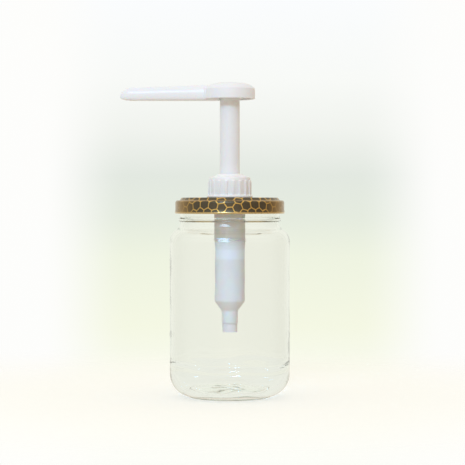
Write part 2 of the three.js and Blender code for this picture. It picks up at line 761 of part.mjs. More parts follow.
// Half-width and height of the spout where it is x from the axis.
function spoutSize(x) {
  const noseStart = SPOUT_REACH - SPOUT_NOSE_LENGTH;
  const along = Math.min(-x / noseStart, 1);
  const nose = Math.max(0, (-x - noseStart) / SPOUT_NOSE_LENGTH);
  const blunt = Math.sqrt(Math.max(0, 1 - nose ** 2.6));
  const topHere = SPOUT_ROOT_TOP_Z + (SPOUT_TIP_TOP_Z - SPOUT_ROOT_TOP_Z) * along;
  const widthHere = SPOUT_HALF_WIDTH + (SPOUT_TIP_HALF_WIDTH - SPOUT_HALF_WIDTH) * along;
  return {
    halfWidth: widthHere * blunt,
    top: SPOUT_NOSE_Z + (topHere - SPOUT_NOSE_Z) * blunt,
    bottom: SPOUT_NOSE_Z + (SPOUT_BOTTOM_Z - SPOUT_NOSE_Z) * blunt,
  };
}

// Section of the spout: round above, squarer below.
function spoutSection(x) {
  const { halfWidth, top, bottom } = spoutSize(x);
  const count = 16;
  const middle = bottom + (top - bottom) * 0.42;
  const section = [];
  for (let i = 0; i < count; i++) {
    const angle = (2 * Math.PI * i) / count;
    const [c, s] = [Math.cos(angle), Math.sin(angle)];
    const power = s > 0 ? 0.92 : 0.62;
    const across = halfWidth * Math.sign(c) * Math.abs(c) ** power;
    const height = s > 0 ? top - middle : middle - bottom;
    section.push(new THREE.Vector3(x, across, middle + height * Math.sign(s) * Math.abs(s) ** power));
  }
  return section;
}

function spoutBody() {
  const straightSteps = 5;
  const noseSteps = 7;
  const noseStart = SPOUT_REACH - SPOUT_NOSE_LENGTH;
  const rootX = HUB_RADIUS - 1.5;
  const stations = [];
  for (let i = 0; i < straightSteps; i++) {
    stations.push(-rootX - ((noseStart - rootX) * i) / straightSteps);
  }
  for (let i = 0; i <= noseSteps; i++) {
    const quarter = (Math.PI / 2) * (i / noseSteps);
    stations.push(-noseStart - SPOUT_NOSE_LENGTH * Math.sin(quarter) * (i < noseSteps ? 1 : 0.9995));
  }
  return loft(stations.map(spoutSection));
}

// The way through the head: along the spout, then down out of the underside of its nose.
function spoutChannel() {
  const count = 12;
  const circle = (x, z, radius) =>
    Array.from({ length: count }, (_, i) => {
      const angle = (2 * Math.PI * i) / count;
      return new THREE.Vector3(x, radius * Math.cos(angle), z + radius * Math.sin(angle));
    });
  const along = loft([
    circle(0, CHANNEL_ROOT_Z, CHANNEL_RADIUS),
    circle(OUTLET_X - 0.6, CHANNEL_TIP_Z, CHANNEL_RADIUS * 0.9),
  ]);
  const down = rod(CHANNEL_RADIUS * 0.9, SPOUT_BOTTOM_Z - 1, CHANNEL_TIP_Z, count);
  return along.add(down.translate([OUTLET_X, 0, 0]));
}

function headWebs() {
  const thickness = 1;
  const from = HUB_RADIUS - 0.5;
  const to = HEAD_RADIUS - HEAD_WALL + 0.5;
  const bottom = HEAD_BOTTOM_Z + 2;
  const top = HEAD_EDGE_Z - HEAD_WALL + 1;
  const web = block(to - from, thickness, top - bottom, (from + to) / 2, 0, (top + bottom) / 2);
  const spacing = 360 / HEAD_WEB_COUNT;
  return Array.from({ length: HEAD_WEB_COUNT }, (_, i) => turnedBy(web, i * spacing));
}

function actuatorHead() {
  return union([headShell(), ...headWebs()]).add(spoutBody()).subtract(spoutChannel());
}

// ---------------------------------------------------------------- materials and assembly

function material(color, roughness, metalness = 0, opacity = 1) {
  const look = { color, roughness, metalness, opacity, transparent: opacity < 1 };
  return new THREE.MeshStandardMaterial(look);
}

const glass = material(0xe6ebdf, 0.04, 0, 0.3);
const printedTin = material(0x776b4d, 0.35, 0.7);
const whiteGloss = material(0xebecec, 0.32);
const milkyPlastic = material(0xd8dce2, 0.42);
const seal = material(0xdcdcd4, 0.6);
const compound = material(0xe9e4d2, 0.7);
const steel = material(0xb9bcc0, 0.25, 1);

const assembly = new THREE.Group();
assembly.position.x = (SPOUT_REACH - JAR_RADIUS) / 2;

function place(name, body, look) {
  const mesh = new THREE.Mesh(geometryOf(body), look);
  mesh.name = name;
  assembly.add(mesh);
}

place("glass_jar", glassJar(), glass);
place("twist_off_lid", twistOffLid(), printedTin);
place("lid_liner", lidLiner(), compound);
place("neck_bushing", neckBushing(), whiteGloss);
place("bushing_gasket", bushingGasket(), seal);
place("closure_collar", closureCollar(), whiteGloss);
place("housing_gasket", housingGasket(), seal);
place("pump_housing", pumpHousing(), milkyPlastic);
place("stem_guide", stemGuide(), whiteGloss);
place("stem_wiper", stemWiper(), seal);
place("ball_cage", ballCage(), milkyPlastic);
place("inlet_tube", inletTube(), milkyPlastic);
place("inlet_ball", ball(inletBallZ), steel);
place("return_spring", returnSpring(), steel);
place("piston_seal", pistonSeal(), seal);
place("seal_retainer", sealRetainer(), milkyPlastic);
place("pump_stem", pumpStem(), whiteGloss);
place("outlet_valve_body", outletValveBody(), milkyPlastic);
place("outlet_ball", ball(outletBallZ), steel);
place("actuator_head", actuatorHead(), whiteGloss);

const dispenser = new THREE.Group();
dispenser.add(assembly);

export default dispenser;
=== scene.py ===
import json
import math

import bmesh
import bpy
import numpy as np
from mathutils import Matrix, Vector


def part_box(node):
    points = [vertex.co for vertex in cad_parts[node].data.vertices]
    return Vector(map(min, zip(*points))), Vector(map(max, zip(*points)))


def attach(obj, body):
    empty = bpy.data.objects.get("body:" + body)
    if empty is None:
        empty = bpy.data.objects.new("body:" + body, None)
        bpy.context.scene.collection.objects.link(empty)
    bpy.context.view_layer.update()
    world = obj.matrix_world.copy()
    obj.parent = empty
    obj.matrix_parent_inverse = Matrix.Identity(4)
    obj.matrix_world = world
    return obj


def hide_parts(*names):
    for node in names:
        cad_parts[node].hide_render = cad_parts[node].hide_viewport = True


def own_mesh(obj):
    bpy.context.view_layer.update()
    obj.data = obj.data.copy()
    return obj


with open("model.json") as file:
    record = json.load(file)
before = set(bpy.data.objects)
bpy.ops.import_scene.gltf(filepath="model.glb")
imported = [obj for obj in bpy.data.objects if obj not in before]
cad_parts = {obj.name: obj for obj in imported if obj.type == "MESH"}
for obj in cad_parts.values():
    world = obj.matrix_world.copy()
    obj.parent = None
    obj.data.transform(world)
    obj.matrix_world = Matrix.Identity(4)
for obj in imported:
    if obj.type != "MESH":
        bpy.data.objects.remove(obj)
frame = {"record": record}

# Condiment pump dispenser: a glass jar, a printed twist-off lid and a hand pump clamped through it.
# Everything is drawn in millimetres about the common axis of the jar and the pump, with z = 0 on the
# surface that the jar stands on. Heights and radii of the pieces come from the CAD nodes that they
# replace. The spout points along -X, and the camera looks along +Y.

MM = 0.001
TAU = 2 * math.pi

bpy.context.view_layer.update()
BODY_OF = {node: body for body, nodes in frame["record"]["behaviour"]["bodies"].items() for node in nodes}
jar_low, jar_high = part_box("glass_jar")
AXIS_X = (jar_low.x + jar_high.x) / 2 / MM


def extent(node):
    """(lowest z, highest z, outer radius) of a round CAD node, in mm."""
    low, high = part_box(node)
    return low.z / MM, high.z / MM, (high.y - low.y) / 2 / MM


# -------- outlines


def circle(radius, count, centre=(0, 0)):
    """Points spaced evenly round a circle."""
    angles = [TAU * i / count for i in range(count)]
    return [(centre[0] + radius * math.cos(a), centre[1] + radius * math.sin(a)) for a in angles]


def arc(centre_r, centre_z, radius, start, end, step=5):
    """Points (r, z) of an arc; angles in degrees, 0 pointing away from the axis."""
    count = max(2, math.ceil(abs(end - start) / step))
    angles = [math.radians(start + (end - start) * i / count) for i in range(count + 1)]
    return [(centre_r + radius * math.cos(a), centre_z + radius * math.sin(a)) for a in angles]


def rounded(corners, closed=True, step=15):
    """Outline through corners (r, z, fillet radius), each rounded as far as its neighbours allow."""
    points = []
    for i, (r, z, fillet) in enumerate(corners):
        here = Vector((r, z))
        before = Vector(corners[i - 1][:2]) - here
        after = Vector(corners[(i + 1) % len(corners)][:2]) - here
        is_end = not closed and i in (0, len(corners) - 1)
        half = before.angle(after) / 2
        nearly_straight = 89
        if is_end or fillet == 0 or half > math.radians(nearly_straight):
            points.append((r, z))
            continue
        reach = min(fillet / math.tan(half), 0.49 * min(before.length, after.length))
        radius = reach * math.tan(half)
        towards = (before.normalized() + after.normalized()).normalized()
        centre = here + towards * (radius / math.sin(half))
        start = here + before.normalized() * reach - centre
        end = here + after.normalized() * reach - centre
        turn = start.angle(end)
        steps = max(1, math.ceil(math.degrees(turn) / step))
        for k in range(steps + 1):
            t = k / steps
            swung = start * math.sin((1 - t) * turn) + end * math.sin(t * turn)
            point = centre + swung / math.sin(turn)
            points.append((point.x, point.y))
    return points


def dense(points, spacing, closed=True):
    """The same outline with points added, so that none are further apart than spacing."""
    result = []
    ends = points[1:] + points[:1] if closed else points[1:]
    for (r0, z0), (r1, z1) in zip(points, ends):
        count = max(1, math.ceil(math.hypot(r1 - r0, z1 - z0) / spacing))
        result += [(r0 + (r1 - r0) * i / count, z0 + (z1 - z0) * i / count) for i in range(count)]
    return result if closed else result + [points[-1]]


def box_corners(inner, outer, bottom, top, fillet):
    """Corners (r, z, fillet radius) of a ring with a rectangular section."""
    corners = [(inner, bottom), (outer, bottom), (outer, top), (inner, top)]
    return [(r, z, fillet) for r, z in corners]


def eased(t):
    """0 below t = 0, 1 above t = 1, and smooth between them."""
    t = np.clip(t, 0, 1)
    return t * t * (3 - 2 * t)


# -------- meshes


def soften(mesh, sharp):
    """Smooth shading, except across edges sharper than that angle in degrees."""
    mesh.polygons.foreach_set("use_smooth", [True] * len(mesh.polygons))
    mesh.set_sharp_from_angle(angle=math.radians(sharp))
    mesh.update()


def new_piece(name, points, faces, sharp=35):
    """Object from points in mm about the common axis."""
    mesh = bpy.data.meshes.new(name)
    placed = (np.asarray(points, float) + (AXIS_X, 0, 0)) * MM
    mesh.from_pydata(placed.tolist(), [], faces)
    editable = bmesh.new()
    editable.from_mesh(mesh)
    bmesh.ops.recalc_face_normals(editable, faces=editable.faces)
    editable.to_mesh(mesh)
    editable.free()
    soften(mesh, sharp)
    piece = bpy.data.objects.new(name, mesh)
    bpy.context.scene.collection.objects.link(piece)
    return piece


def skin(rings, joined=False):
    """Faces between neighbouring rings of vertex numbers. A ring of one number is a tip."""
    faces = []
    pairs = list(zip(rings, rings[1:]))
    if joined:
        pairs.append((rings[-1], rings[0]))
    for low, high in pairs:
        count = max(len(low), len(high))
        for i in range(count):
            k = (i + 1) % count
            if len(low) == 1:
                faces.append((low[0], high[k], high[i]))
            elif len(high) == 1:
                faces.append((low[i], low[k], high[0]))
            else:
                faces.append((low[i], low[k], high[k], high[i]))
    return faces


def lathe(name, outline, segments=96, shape=None, sharp=35, solid=True):
    """Solid of revolution of an outline of (r, z) points. An outline that doesn't start and end on
    the axis is closed on itself, unless it is a sheet. shape(angle, r, z, row) may move the points,
    and returns (r, z)."""
    on_axis = 1e-6
    turn = np.linspace(0, TAU, segments, endpoint=False)
    angle, r = np.meshgrid(turn, [p[0] for p in outline])
    z = np.repeat([[p[1]] for p in outline], segments, axis=1)
    if shape:
        row = np.repeat(np.arange(len(outline))[:, None], segments, axis=1)
        r, z = shape(angle, r, z, row)
    grid = np.stack([r * np.cos(angle), r * np.sin(angle), z], axis=-1)
    points, rings = [], []
    for i, (radius, _) in enumerate(outline):
        ring = grid[i][:1] if radius < on_axis else grid[i]
        rings.append(list(range(len(points), len(points) + len(ring))))
        points.extend(ring.tolist())
    closed = solid and (outline[0][0] > on_axis or outline[-1][0] > on_axis)
    return new_piece(name, points, skin(rings, joined=closed), sharp)


def loft(name, sections, sharp=35):
    """Solid through a row of sections with the same number of points, closed flat at both ends."""
    count = len(sections[0])
    points = [p for section in sections for p in section]
    rings = [list(range(i * count, (i + 1) * count)) for i in range(len(sections))]
    return new_piece(name, points, skin(rings) + [tuple(rings[0]), tuple(rings[-1])], sharp)


def turned_about_axis(point, angle):
    c, s = math.cos(angle), math.sin(angle)
    return (point[0] * c - point[1] * s, point[0] * s + point[1] * c, point[2])


def pillars(name, count, rim, low, high):
    """Upright prisms with a rim of (x, y) points, repeated evenly round the axis, to cut with."""
    tools = []
    for k in range(count):
        turn = TAU * k / count
        sections = [[turned_about_axis((x, y, z), turn) for x, y in rim] for z in (low, high)]
        tools.append(loft(f"{name}_{k}", sections))
    return tools


def combine(piece, tools, operation, sharp=35):
    """Joins the tools to the piece, or cuts them from it, and removes them."""
    for tool in tools:
        modifier = piece.modifiers.new("combine", "BOOLEAN")
        modifier.operation = operation
        modifier.solver = "EXACT"
        modifier.object = tool
    bpy.context.view_layer.update()
    evaluated = piece.evaluated_get(bpy.context.evaluated_depsgraph_get())
    mesh = bpy.data.meshes.new_from_object(evaluated)
    piece.modifiers.clear()
    piece.data = mesh
    soften(mesh, sharp)
    for tool in tools:
        bpy.data.objects.remove(tool)
    return piece


def assign(piece, node, slot, *materials):
    """Finishes a piece: its materials, the CAD node that it stands for, and the body that it rides."""
    for material in materials:
        piece.data.materials.append(material)
    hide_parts(node)
    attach(piece, BODY_OF[node])


def turned(name, node, slot, material, corners, segments=96, spacing=None):
    """Piece turned from corners (r, z, fillet radius), for one node and in one material."""
    outline = rounded(corners)
    outline = dense(outline, spacing) if spacing else outline
    assign(lathe(name, outline, segments), node, slot, material)


def thread(angle, z, start_z, turns, pitch, depth):
    """Height of a trapezoid thread above its root, at each angle and height."""
    half_root, half_crest, run_out = 0.75, 0.35, 0.1
    height = np.zeros_like(z)
    for k in range(math.ceil(turns) + 1):
        along = angle / TAU + k
        distance = np.abs(z - start_z - pitch * along)
        flank = eased((half_root - distance) / (half_root - half_crest))
        ends = eased(along / run_out) * eased((turns - along) / run_out)
        height = np.maximum(height, depth * flank * ends)
    return height


# -------- materials


class Nodes:
    """Short ways to add nodes to a shader tree and to connect them."""

    def __init__(self, tree):
        self.tree = tree

    def node(self, kind, settings=None, **sockets):
        node = self.tree.nodes.new("ShaderNode" + kind)
        for name, value in (settings or {}).items():
            setattr(node, name, value)
        for name, value in sockets.items():
            self.feed(node.inputs[name.replace("_", " ")], value)
        return node

    def feed(self, socket, value):
        if isinstance(value, bpy.types.NodeSocket):
            self.tree.links.new(value, socket)
        else:
            socket.default_value = value

    def feed_all(self, node, *values):
        for socket, value in zip(node.inputs, values):
            self.feed(socket, value)

    def math(self, operation, *values):
        node = self.node("Math", {"operation": operation})
        self.feed_all(node, *values)
        return node.outputs[0]

    def vector_math(self, operation, *values):
        node = self.node("VectorMath", {"operation": operation})
        self.feed_all(node, *values)
        return node.outputs["Value" if operation in ("LENGTH", "DOT_PRODUCT") else "Vector"]

    def rise(self, value, start, end, smooth=False, **limits):
        """0 to 1, or To_Min to To_Max, as the value goes from start to end."""
        settings = {"interpolation_type": "SMOOTHSTEP" if smooth else "LINEAR"}
        node = self.node("MapRange", settings, Value=value, From_Min=start, From_Max=end, **limits)
        return node.outputs[0]

    def mix(self, factor, low, high):
        node = self.node("Mix", {"data_type": "RGBA"})
        self.feed(node.inputs[0], factor)
        self.feed(node.inputs[6], low)
        self.feed(node.inputs[7], high)
        return node.outputs[2]

    def seen_through_glass(self, path):
        """1 for a ray that has come through glass and has not yet lit anything."""
        unscattered = self.math("LESS_THAN", path["Diffuse Depth"], 0.5)
        return self.math("MULTIPLY", path["Is Transmission Ray"], unscattered)


class Look(Nodes):
    """A material with a Principled shader."""

    def __init__(self, name, **sockets):
        self.material = bpy.data.materials.new(name)
        self.material.use_nodes = True
        super().__init__(self.material.node_tree)
        self.shader = self.tree.nodes["Principled BSDF"]
        self.output = self.tree.nodes["Material Output"]
        for socket, value in sockets.items():
            self.shader.inputs[socket.replace("_", " ")].default_value = value

    def noise(self, scale, detail=3, stretch=(1, 1, 1)):
        """Noise in the object's own space; scale is in features per metre."""
        place = self.node("TexCoord").outputs["Object"]
        place = self.vector_math("MULTIPLY", place, stretch)
        return self.node("TexNoise", Vector=place, Scale=scale, Detail=detail).outputs["Fac"]

    def between(self, noise, low, high):
        """Value or colour between low and high, over the middle range of a noise."""
        start, end = 0.3, 0.7
        if isinstance(low, tuple):
            return self.mix(self.rise(noise, start, end), low, high)
        return self.rise(noise, start, end, To_Min=low, To_Max=high)

    def blend(self, factor, first, second):
        """Shader that goes from the first to the second as the factor goes from 0 to 1."""
        node = self.node("MixShader")
        self.feed_all(node, factor, first, second)
        return node.outputs[0]

    def surface(self, value):
        self.feed(self.output.inputs["Surface"], value)

    def bump(self, height, distance, strength):
        node = self.node("Bump", Height=height, Distance=distance, Strength=strength)
        self.feed(self.shader.inputs["Normal"], node.outputs[0])

    def colour(self, value):
        self.feed(self.shader.inputs["Base Color"], value)

    def roughness(self, noise, low, high):
        self.feed(self.shader.inputs["Roughness"], self.between(noise, low, high))


def rgb(red, green, blue):
    return (red, green, blue, 1)


def glass_look():
    """Flint glass with a slight green cast where it is thick. Shadow rays pass, so that lamps light
    what is inside the jar."""
    look = Look("jar_glass", Transmission_Weight=1.0, Roughness=0.018, IOR=1.51)
    look.colour(rgb(1, 1, 1))
    faint_waves = look.noise(45, detail=2, stretch=(1, 1, 0.35))
    look.bump(faint_waves, 0.0008, 0.03)
    through = look.node("BsdfTransparent", Color=rgb(0.94, 0.94, 0.94))
    is_shadow = look.node("LightPath").outputs["Is Shadow Ray"]
    look.surface(look.blend(is_shadow, look.shader.outputs[0], through.outputs[0]))
    inside = look.node("VolumeAbsorption", Color=rgb(0.68, 0.89, 0.78), Density=5.0)
    look.feed(look.output.inputs["Volume"], inside.outputs[0])
    return look.material


def white_plastic_look(name="white_plastic", dull=(0.875, 0.89, 0.91), bright=(0.895, 0.905, 0.92)):
    """Moulded polypropylene: white, slightly waxy, with faint flow mottle and a fine eggshell."""
    look = Look(name, IOR=1.49, Subsurface_Weight=0.12, Subsurface_Scale=0.0015)
    mottle = look.noise(140, detail=2)
    look.colour(look.between(mottle, rgb(*dull), rgb(*bright)))
    look.roughness(look.noise(420, detail=4), 0.27, 0.36)
    look.bump(look.noise(2600), 0.00003, 0.35)
    return look.material


def milky_plastic_look(name="milky_plastic", painted_light_bands=()):
    """Natural polyethylene: translucent white. Bands are (height in mm, colour), from the lowest height
    up, each colouring the wall above that height. They are painted light and shade: a brighter band is
    painted where the parts inside would show through the wall, and the top band is painted brighter and
    warmer, a painted reflection of the lid's gold lacquer that lifts the lid's shadow."""
    half_fade = 0.9
    look = Look(name, IOR=1.5, Subsurface_Weight=0.45, Subsurface_Scale=0.003)
    clouds = look.noise(110)
    colour = look.between(clouds, rgb(0.755, 0.74, 0.74), rgb(0.785, 0.765, 0.75))
    place = look.node("TexCoord").outputs["Object"]
    height = look.node("SeparateXYZ", Vector=place).outputs[2]
    # Painted light and shade by height, laid over the plastic's own colour.
    for z, shade in painted_light_bands:
        above = look.rise(height, (z - half_fade) * MM, (z + half_fade) * MM)
        colour = look.mix(above, colour, shade)
    look.colour(colour)
    look.roughness(look.noise(380), 0.34, 0.46)
    look.bump(look.noise(1900, stretch=(1, 1, 0.2)), 0.00004, 0.3)
    return look.material


def rubber_look():
    """Pale elastomer of the washers, the wiper and the piston cup."""
    look = Look("seal_rubber", IOR=1.45, Specular_IOR_Level=0.35)
    look.colour(look.between(look.noise(600), rgb(0.66, 0.655, 0.62), rgb(0.72, 0.715, 0.69)))
    look.roughness(look.noise(900), 0.5, 0.65)
    look.bump(look.noise(5200, detail=2), 0.00004, 0.5)
    return look.material


def compound_look():
    """Cream sealing compound, poured as a liquid: glossy, with slow ripples."""
    look = Look("liner_compound", IOR=1.5)
    look.colour(look.between(look.noise(240), rgb(0.80, 0.755, 0.62), rgb(0.85, 0.81, 0.70)))
    look.roughness(look.noise(700), 0.38, 0.52)
    look.bump(look.noise(420, detail=2), 0.00012, 0.4)
    return look.material


def steel_look():
    """Drawn and polished stainless steel."""
    look = Look("steel", Metallic=1.0)
    grain = look.noise(2400, detail=4, stretch=(1, 1, 0.15))
    look.colour(look.between(grain, rgb(0.58, 0.585, 0.60), rgb(0.66, 0.665, 0.675)))
    look.roughness(grain, 0.14, 0.24)
    look.bump(grain, 0.00001, 0.3)
    return look.material


def lacquer_look():
    """Gold lacquer on bare tinplate, on the inside of the lid and on its curl."""
    look = Look("gold_lacquer", Metallic=1.0, Coat_Weight=0.6, Coat_Roughness=0.12)
    tin = look.noise(1500, detail=4, stretch=(0.25, 1, 1))
    look.colour(look.between(tin, rgb(0.60, 0.42, 0.17), rgb(0.70, 0.51, 0.23)))
    look.roughness(tin, 0.24, 0.36)
    look.bump(tin, 0.00001, 0.25)
    return look.material


HEX_FLATS = 6.5  # across the flats of one printed cell, on the flat sheet
HEX_STRETCH = 1.14  # the print is stretched across the front, because drawing the skirt narrows it
HEX_LINE = 0.62  # width of the gold lines
SKIRT_FROM = (36.0, 40.0)  # flat distances over which the flat top of the lid turns into its skirt


def printed_look(edge_distance):
    """Honeycomb print on tinplate: charcoal cells between gold lines, under a clear coat. The print
    is laid out on the flat sheet, which the lid was drawn from, so it is read from the flat_sheet
    attribute (mm from the axis before drawing). A cell ends at edge_distance at the front."""
    look = Look("printed_tinplate", Metallic=0.85, Coat_Weight=0.6, Coat_Roughness=0.1, Coat_IOR=1.4)
    flat = look.node("Attribute", {"attribute_name": "flat_sheet"}).outputs["Vector"]
    tremble = look.node("TexNoise", Vector=flat, Scale=0.35, Detail=1.0)
    drift = look.vector_math("SUBTRACT", tremble.outputs["Color"], (0.5, 0.5, 0.5))
    drift = look.vector_math("MULTIPLY", drift, (0.7, 0.7, 0.0))
    place = look.vector_math("ADD", flat, drift)
    place = look.vector_math("ADD", place, (0, edge_distance + HEX_FLATS / 2, 0))
    place = look.vector_math("MULTIPLY", place, (1 / HEX_STRETCH, 1, 1))
    slant = math.sqrt(3) / 2
    half = (HEX_FLATS * slant, HEX_FLATS / 2, 1)
    minus_half = tuple(-v for v in half)
    even = look.vector_math("WRAP", place, half, minus_half)
    odd = look.vector_math("WRAP", look.vector_math("ADD", place, half), half, minus_half)
    flatten = (1, 1, 0)
    even = look.vector_math("MULTIPLY", even, flatten)
    odd = look.vector_math("MULTIPLY", odd, flatten)
    nearer = look.math("LESS_THAN", look.vector_math("LENGTH", even), look.vector_math("LENGTH", odd))
    cell = look.vector_math("ABSOLUTE", look.mix(nearer, odd, even))
    parts = look.node("SeparateXYZ", Vector=cell)
    slanted = look.math("MULTIPLY", parts.outputs[0], slant)
    slanted = look.math("MULTIPLY_ADD", parts.outputs[1], 0.5, slanted)
    inward = look.math("SUBTRACT", HEX_FLATS / 2, look.math("MAXIMUM", parts.outputs[1], slanted))
    soft = 0.08
    line = look.rise(inward, HEX_LINE / 2 + soft, HEX_LINE / 2 - soft)
    grain = look.noise(2200, detail=4)
    charcoal = look.between(grain, rgb(0.085, 0.068, 0.04), rgb(0.125, 0.104, 0.064))
    # Painted reflection: where the skirt turns away from the view, round its sides, both inks are painted
    # brown, for the warm surroundings that the coat reflects at a glance.
    facing = look.node("LayerWeight", Blend=0.5).outputs["Facing"]
    skirt = look.rise(look.vector_math("LENGTH", flat), *SKIRT_FROM)
    painted_grazing_sheen = look.math("MULTIPLY", look.rise(facing, 0.18, 0.55, smooth=True), skirt)
    charcoal = look.mix(painted_grazing_sheen, charcoal, rgb(0.34, 0.215, 0.07))
    gold = look.between(grain, rgb(0.70, 0.43, 0.09), rgb(0.80, 0.52, 0.15))
    gold = look.mix(painted_grazing_sheen, gold, rgb(0.46, 0.30, 0.10))
    look.colour(look.mix(line, charcoal, gold))
    look.roughness(grain, 0.34, 0.44)
    raised = look.math("ADD", line, look.math("MULTIPLY", grain, 0.3))
    look.bump(raised, 0.00002, 0.6)
    return look.material


GLASS = glass_look()
WHITE = white_plastic_look()
# A brighter copy of the white plastic for the collar: painted light that lifts the shade from the lid and
# from the collar's own ribs.
PAINTED_BRIGHT_WHITE = white_plastic_look("closure_plastic_painted_brighter", (0.955, 0.95, 0.95), (0.975, 0.97, 0.965))
MILKY = milky_plastic_look()
# Painted light and shade by height on the barrel: near the top, a painted warm reflection of the lid
# lifts the lid's shadow.
BARREL = milky_plastic_look(
    "barrel_plastic",
    [
        (101, rgb(0.82, 0.83, 0.85)),
        (108, rgb(0.78, 0.78, 0.77)),
        (111, rgb(0.76, 0.74, 0.71)),
        (119, rgb(0.90, 0.86, 0.78)),
    ],
)
RUBBER = rubber_look()
COMPOUND = compound_look()
STEEL = steel_look()
LACQUER = lacquer_look()

# -------- jar

LUG_COUNT = 4
CLOSURE_LEAD = 16  # rise of the lid in one turn


def ramps(angle, z, bottom, thickness, depth, length, start):
    """Height of the lug ramps above the glass finish: raised ribs that climb with the closure's lead."""
    taper, edge = 6, 0.35
    spacing = 360 / LUG_COUNT
    along = (np.degrees(angle) - start) % spacing
    low = bottom + CLOSURE_LEAD * (along + start) / 360
    across = eased((z - low) / edge) * eased((low + thickness - z) / edge)
    ends = eased(along / taper) * eased((length - along) / taper)
    return depth * across * ends


def dome_shape(t):
    """Section of the push-up under the jar: 1 on the axis (t = 0) and 0 at the standing ring (t = 1)."""
    return math.cos(math.pi / 2 * t**1.6)


def make_jar():
    bottom, top, radius = extent("glass_jar")
    wall, floor_z, floor_rise, push_up = 2.6, bottom + 3.6, 3.2, 2.4
    ring_inner, foot_r, foot, heel, heel_tilt = 26.5, 29.7, 0.8, 16.5, 10
    inner_heel = heel - wall
    shoulder_z, shoulder, shoulder_turn = 113.8, 10, 50
    neck, sweep, sweep_z = 36.3, 7, 128.1
    bead_r, bead_z, bead = 37.4, 129.7, 1.25
    finish, mouth, lip = 36.6, 33.4, 0.9
    dome = [i / 12 for i in range(12)]
    under = [(ring_inner * t, push_up * dome_shape(t)) for t in dome]
    floor_r = radius - heel
    floor = [(floor_r * t, floor_z + floor_rise * dome_shape(t)) for t in dome]
    heel_centre_z = foot + heel * math.cos(math.radians(heel_tilt))
    bead_corners = [
        (neck, sweep_z + 0.05, 0),
        (neck, bead_z - bead - 0.2, 0.4),
        (bead_r, bead_z - 0.8, 0.7),
        (bead_r, bead_z + 0.8, 0.7),
        (finish, bead_z + bead + 0.2, 0.4),
        (finish, top - 2, 0),
    ]
    outer = under + [
        (ring_inner, bottom),
        *arc(foot_r - 0.2, bottom + 0.6, 0.6, -90, -20, 20),
        *arc(radius - heel, heel_centre_z, heel, heel_tilt - 90, 0, 3),
        *arc(radius - shoulder, shoulder_z, shoulder, 0, shoulder_turn, 3),
        *arc(neck + sweep, sweep_z, sweep, 180 + shoulder_turn, 180, 4),
        *rounded(bead_corners, closed=False),
        *arc(finish - lip, top - lip, lip, 0, 90, 15),
    ]
    inner_wall = radius - wall
    inner_shoulder, inner_sweep = shoulder - 1.8, sweep + 1
    inner = [
        *arc(mouth + lip, top - lip, lip, 90, 180, 15),
        *arc(mouth + inner_sweep, sweep_z - 0.9, inner_sweep, 180, 180 + shoulder_turn, 4),
        *arc(inner_wall - inner_shoulder, shoulder_z - 0.8, inner_shoulder, shoulder_turn, 0, 4),
        *arc(floor_r, floor_z + inner_heel, inner_heel, 0, -90, 4),
        *floor[::-1],
    ]
    outer = dense(outer, 1.1, closed=False)
    inner = dense(inner, 1.4, closed=False)
    outer_count = len(outer)
    lug_z = extent("twist_off_lid")[0] + 2.1
    ramp, ramp_depth, ramp_length, ramp_start = 1.6, 1.5, 80, -10
    seam, seam_width, mark, mark_width, mark_height, mark_z = 0.05, 0.9, 0.25, 1.9, 1.3, 46
    drift, settle, settle_z, rebound, rebound_rise, ripple = 0.05, 0.5, 22.5, 0.3, 3.4, 0.22

    def shape(angle, r, z, row):
        outside = row < outer_count
        on_finish = outside & (z > bead_z + 1.6) & (z < top - lip)
        r = r + on_finish * ramps(angle, z, lug_z, ramp, ramp_depth, ramp_length, ramp_start)
        # Mould seams on both sides, with a small register mark on each.
        from_seam = np.degrees(np.abs(np.mod(angle + math.pi / 2, math.pi) - math.pi / 2))
        line = seam * np.exp(-((from_seam / seam_width) ** 2)) * (z > 4)
        spot = mark * np.exp(-((from_seam / mark_width) ** 2) - ((z - mark_z) / mark_height) ** 2)
        r = r + outside * (r > finish + 2) * (line + spot)
        # The inner wall is uneven, with a settle wave just above the floor.
        inside = ~outside & (r > 2)
        uneven = np.sin(3 * angle + 0.05 * z) + 0.6 * np.sin(5 * angle - 0.11 * z + 1)
        uneven = uneven + 0.4 * np.sin(8 * angle + 0.23 * z + 2)
        on_wall = inside * eased((z - floor_z - 4) / 8) * eased((sweep_z - 8 - z) / 6)
        wave_z = settle_z + 1.1 * np.sin(2 * angle + 0.6) + 0.7 * np.sin(5 * angle + 2)
        wave = settle * np.exp(-(((z - wave_z) / 1.5) ** 2))
        wave = wave - rebound * np.exp(-(((z - wave_z - rebound_rise) / 1.6) ** 2))
        r = r + on_wall * (drift * uneven - wave)
        on_floor = inside * eased((floor_z + 9 - z) / 6)
        rolling = np.sin(4 * angle + 0.5) * np.sin(0.28 * r) + 0.6 * np.sin(7 * angle + 0.33 * r)
        z = z + on_floor * ripple * rolling * eased(r / 10)
        return r, z

    piece = lathe("jar", outer + inner, 192, shape, sharp=60)
    assign(piece, "glass_jar", "jar_glass", GLASS)


# -------- lid and liner


def sheet_outline(path, thickness):
    """Closed outline of a sheet that follows the path, and the flat-sheet distance of each point."""
    path = [Vector(p) for p in path]
    sides = ([], [])
    travelled = [path[0].x]
    for before, here in zip(path, path[1:]):
        travelled.append(travelled[-1] + (here - before).length)
    for i, here in enumerate(path):
        along = path[min(i + 1, len(path) - 1)] - path[max(i - 1, 0)]
        across = Vector((-along.y, along.x)).normalized() * (thickness / 2)
        sides[0].append(tuple(here + across))
        sides[1].append(tuple(here - across))
    return sides[0] + sides[1][::-1], travelled + travelled[::-1]


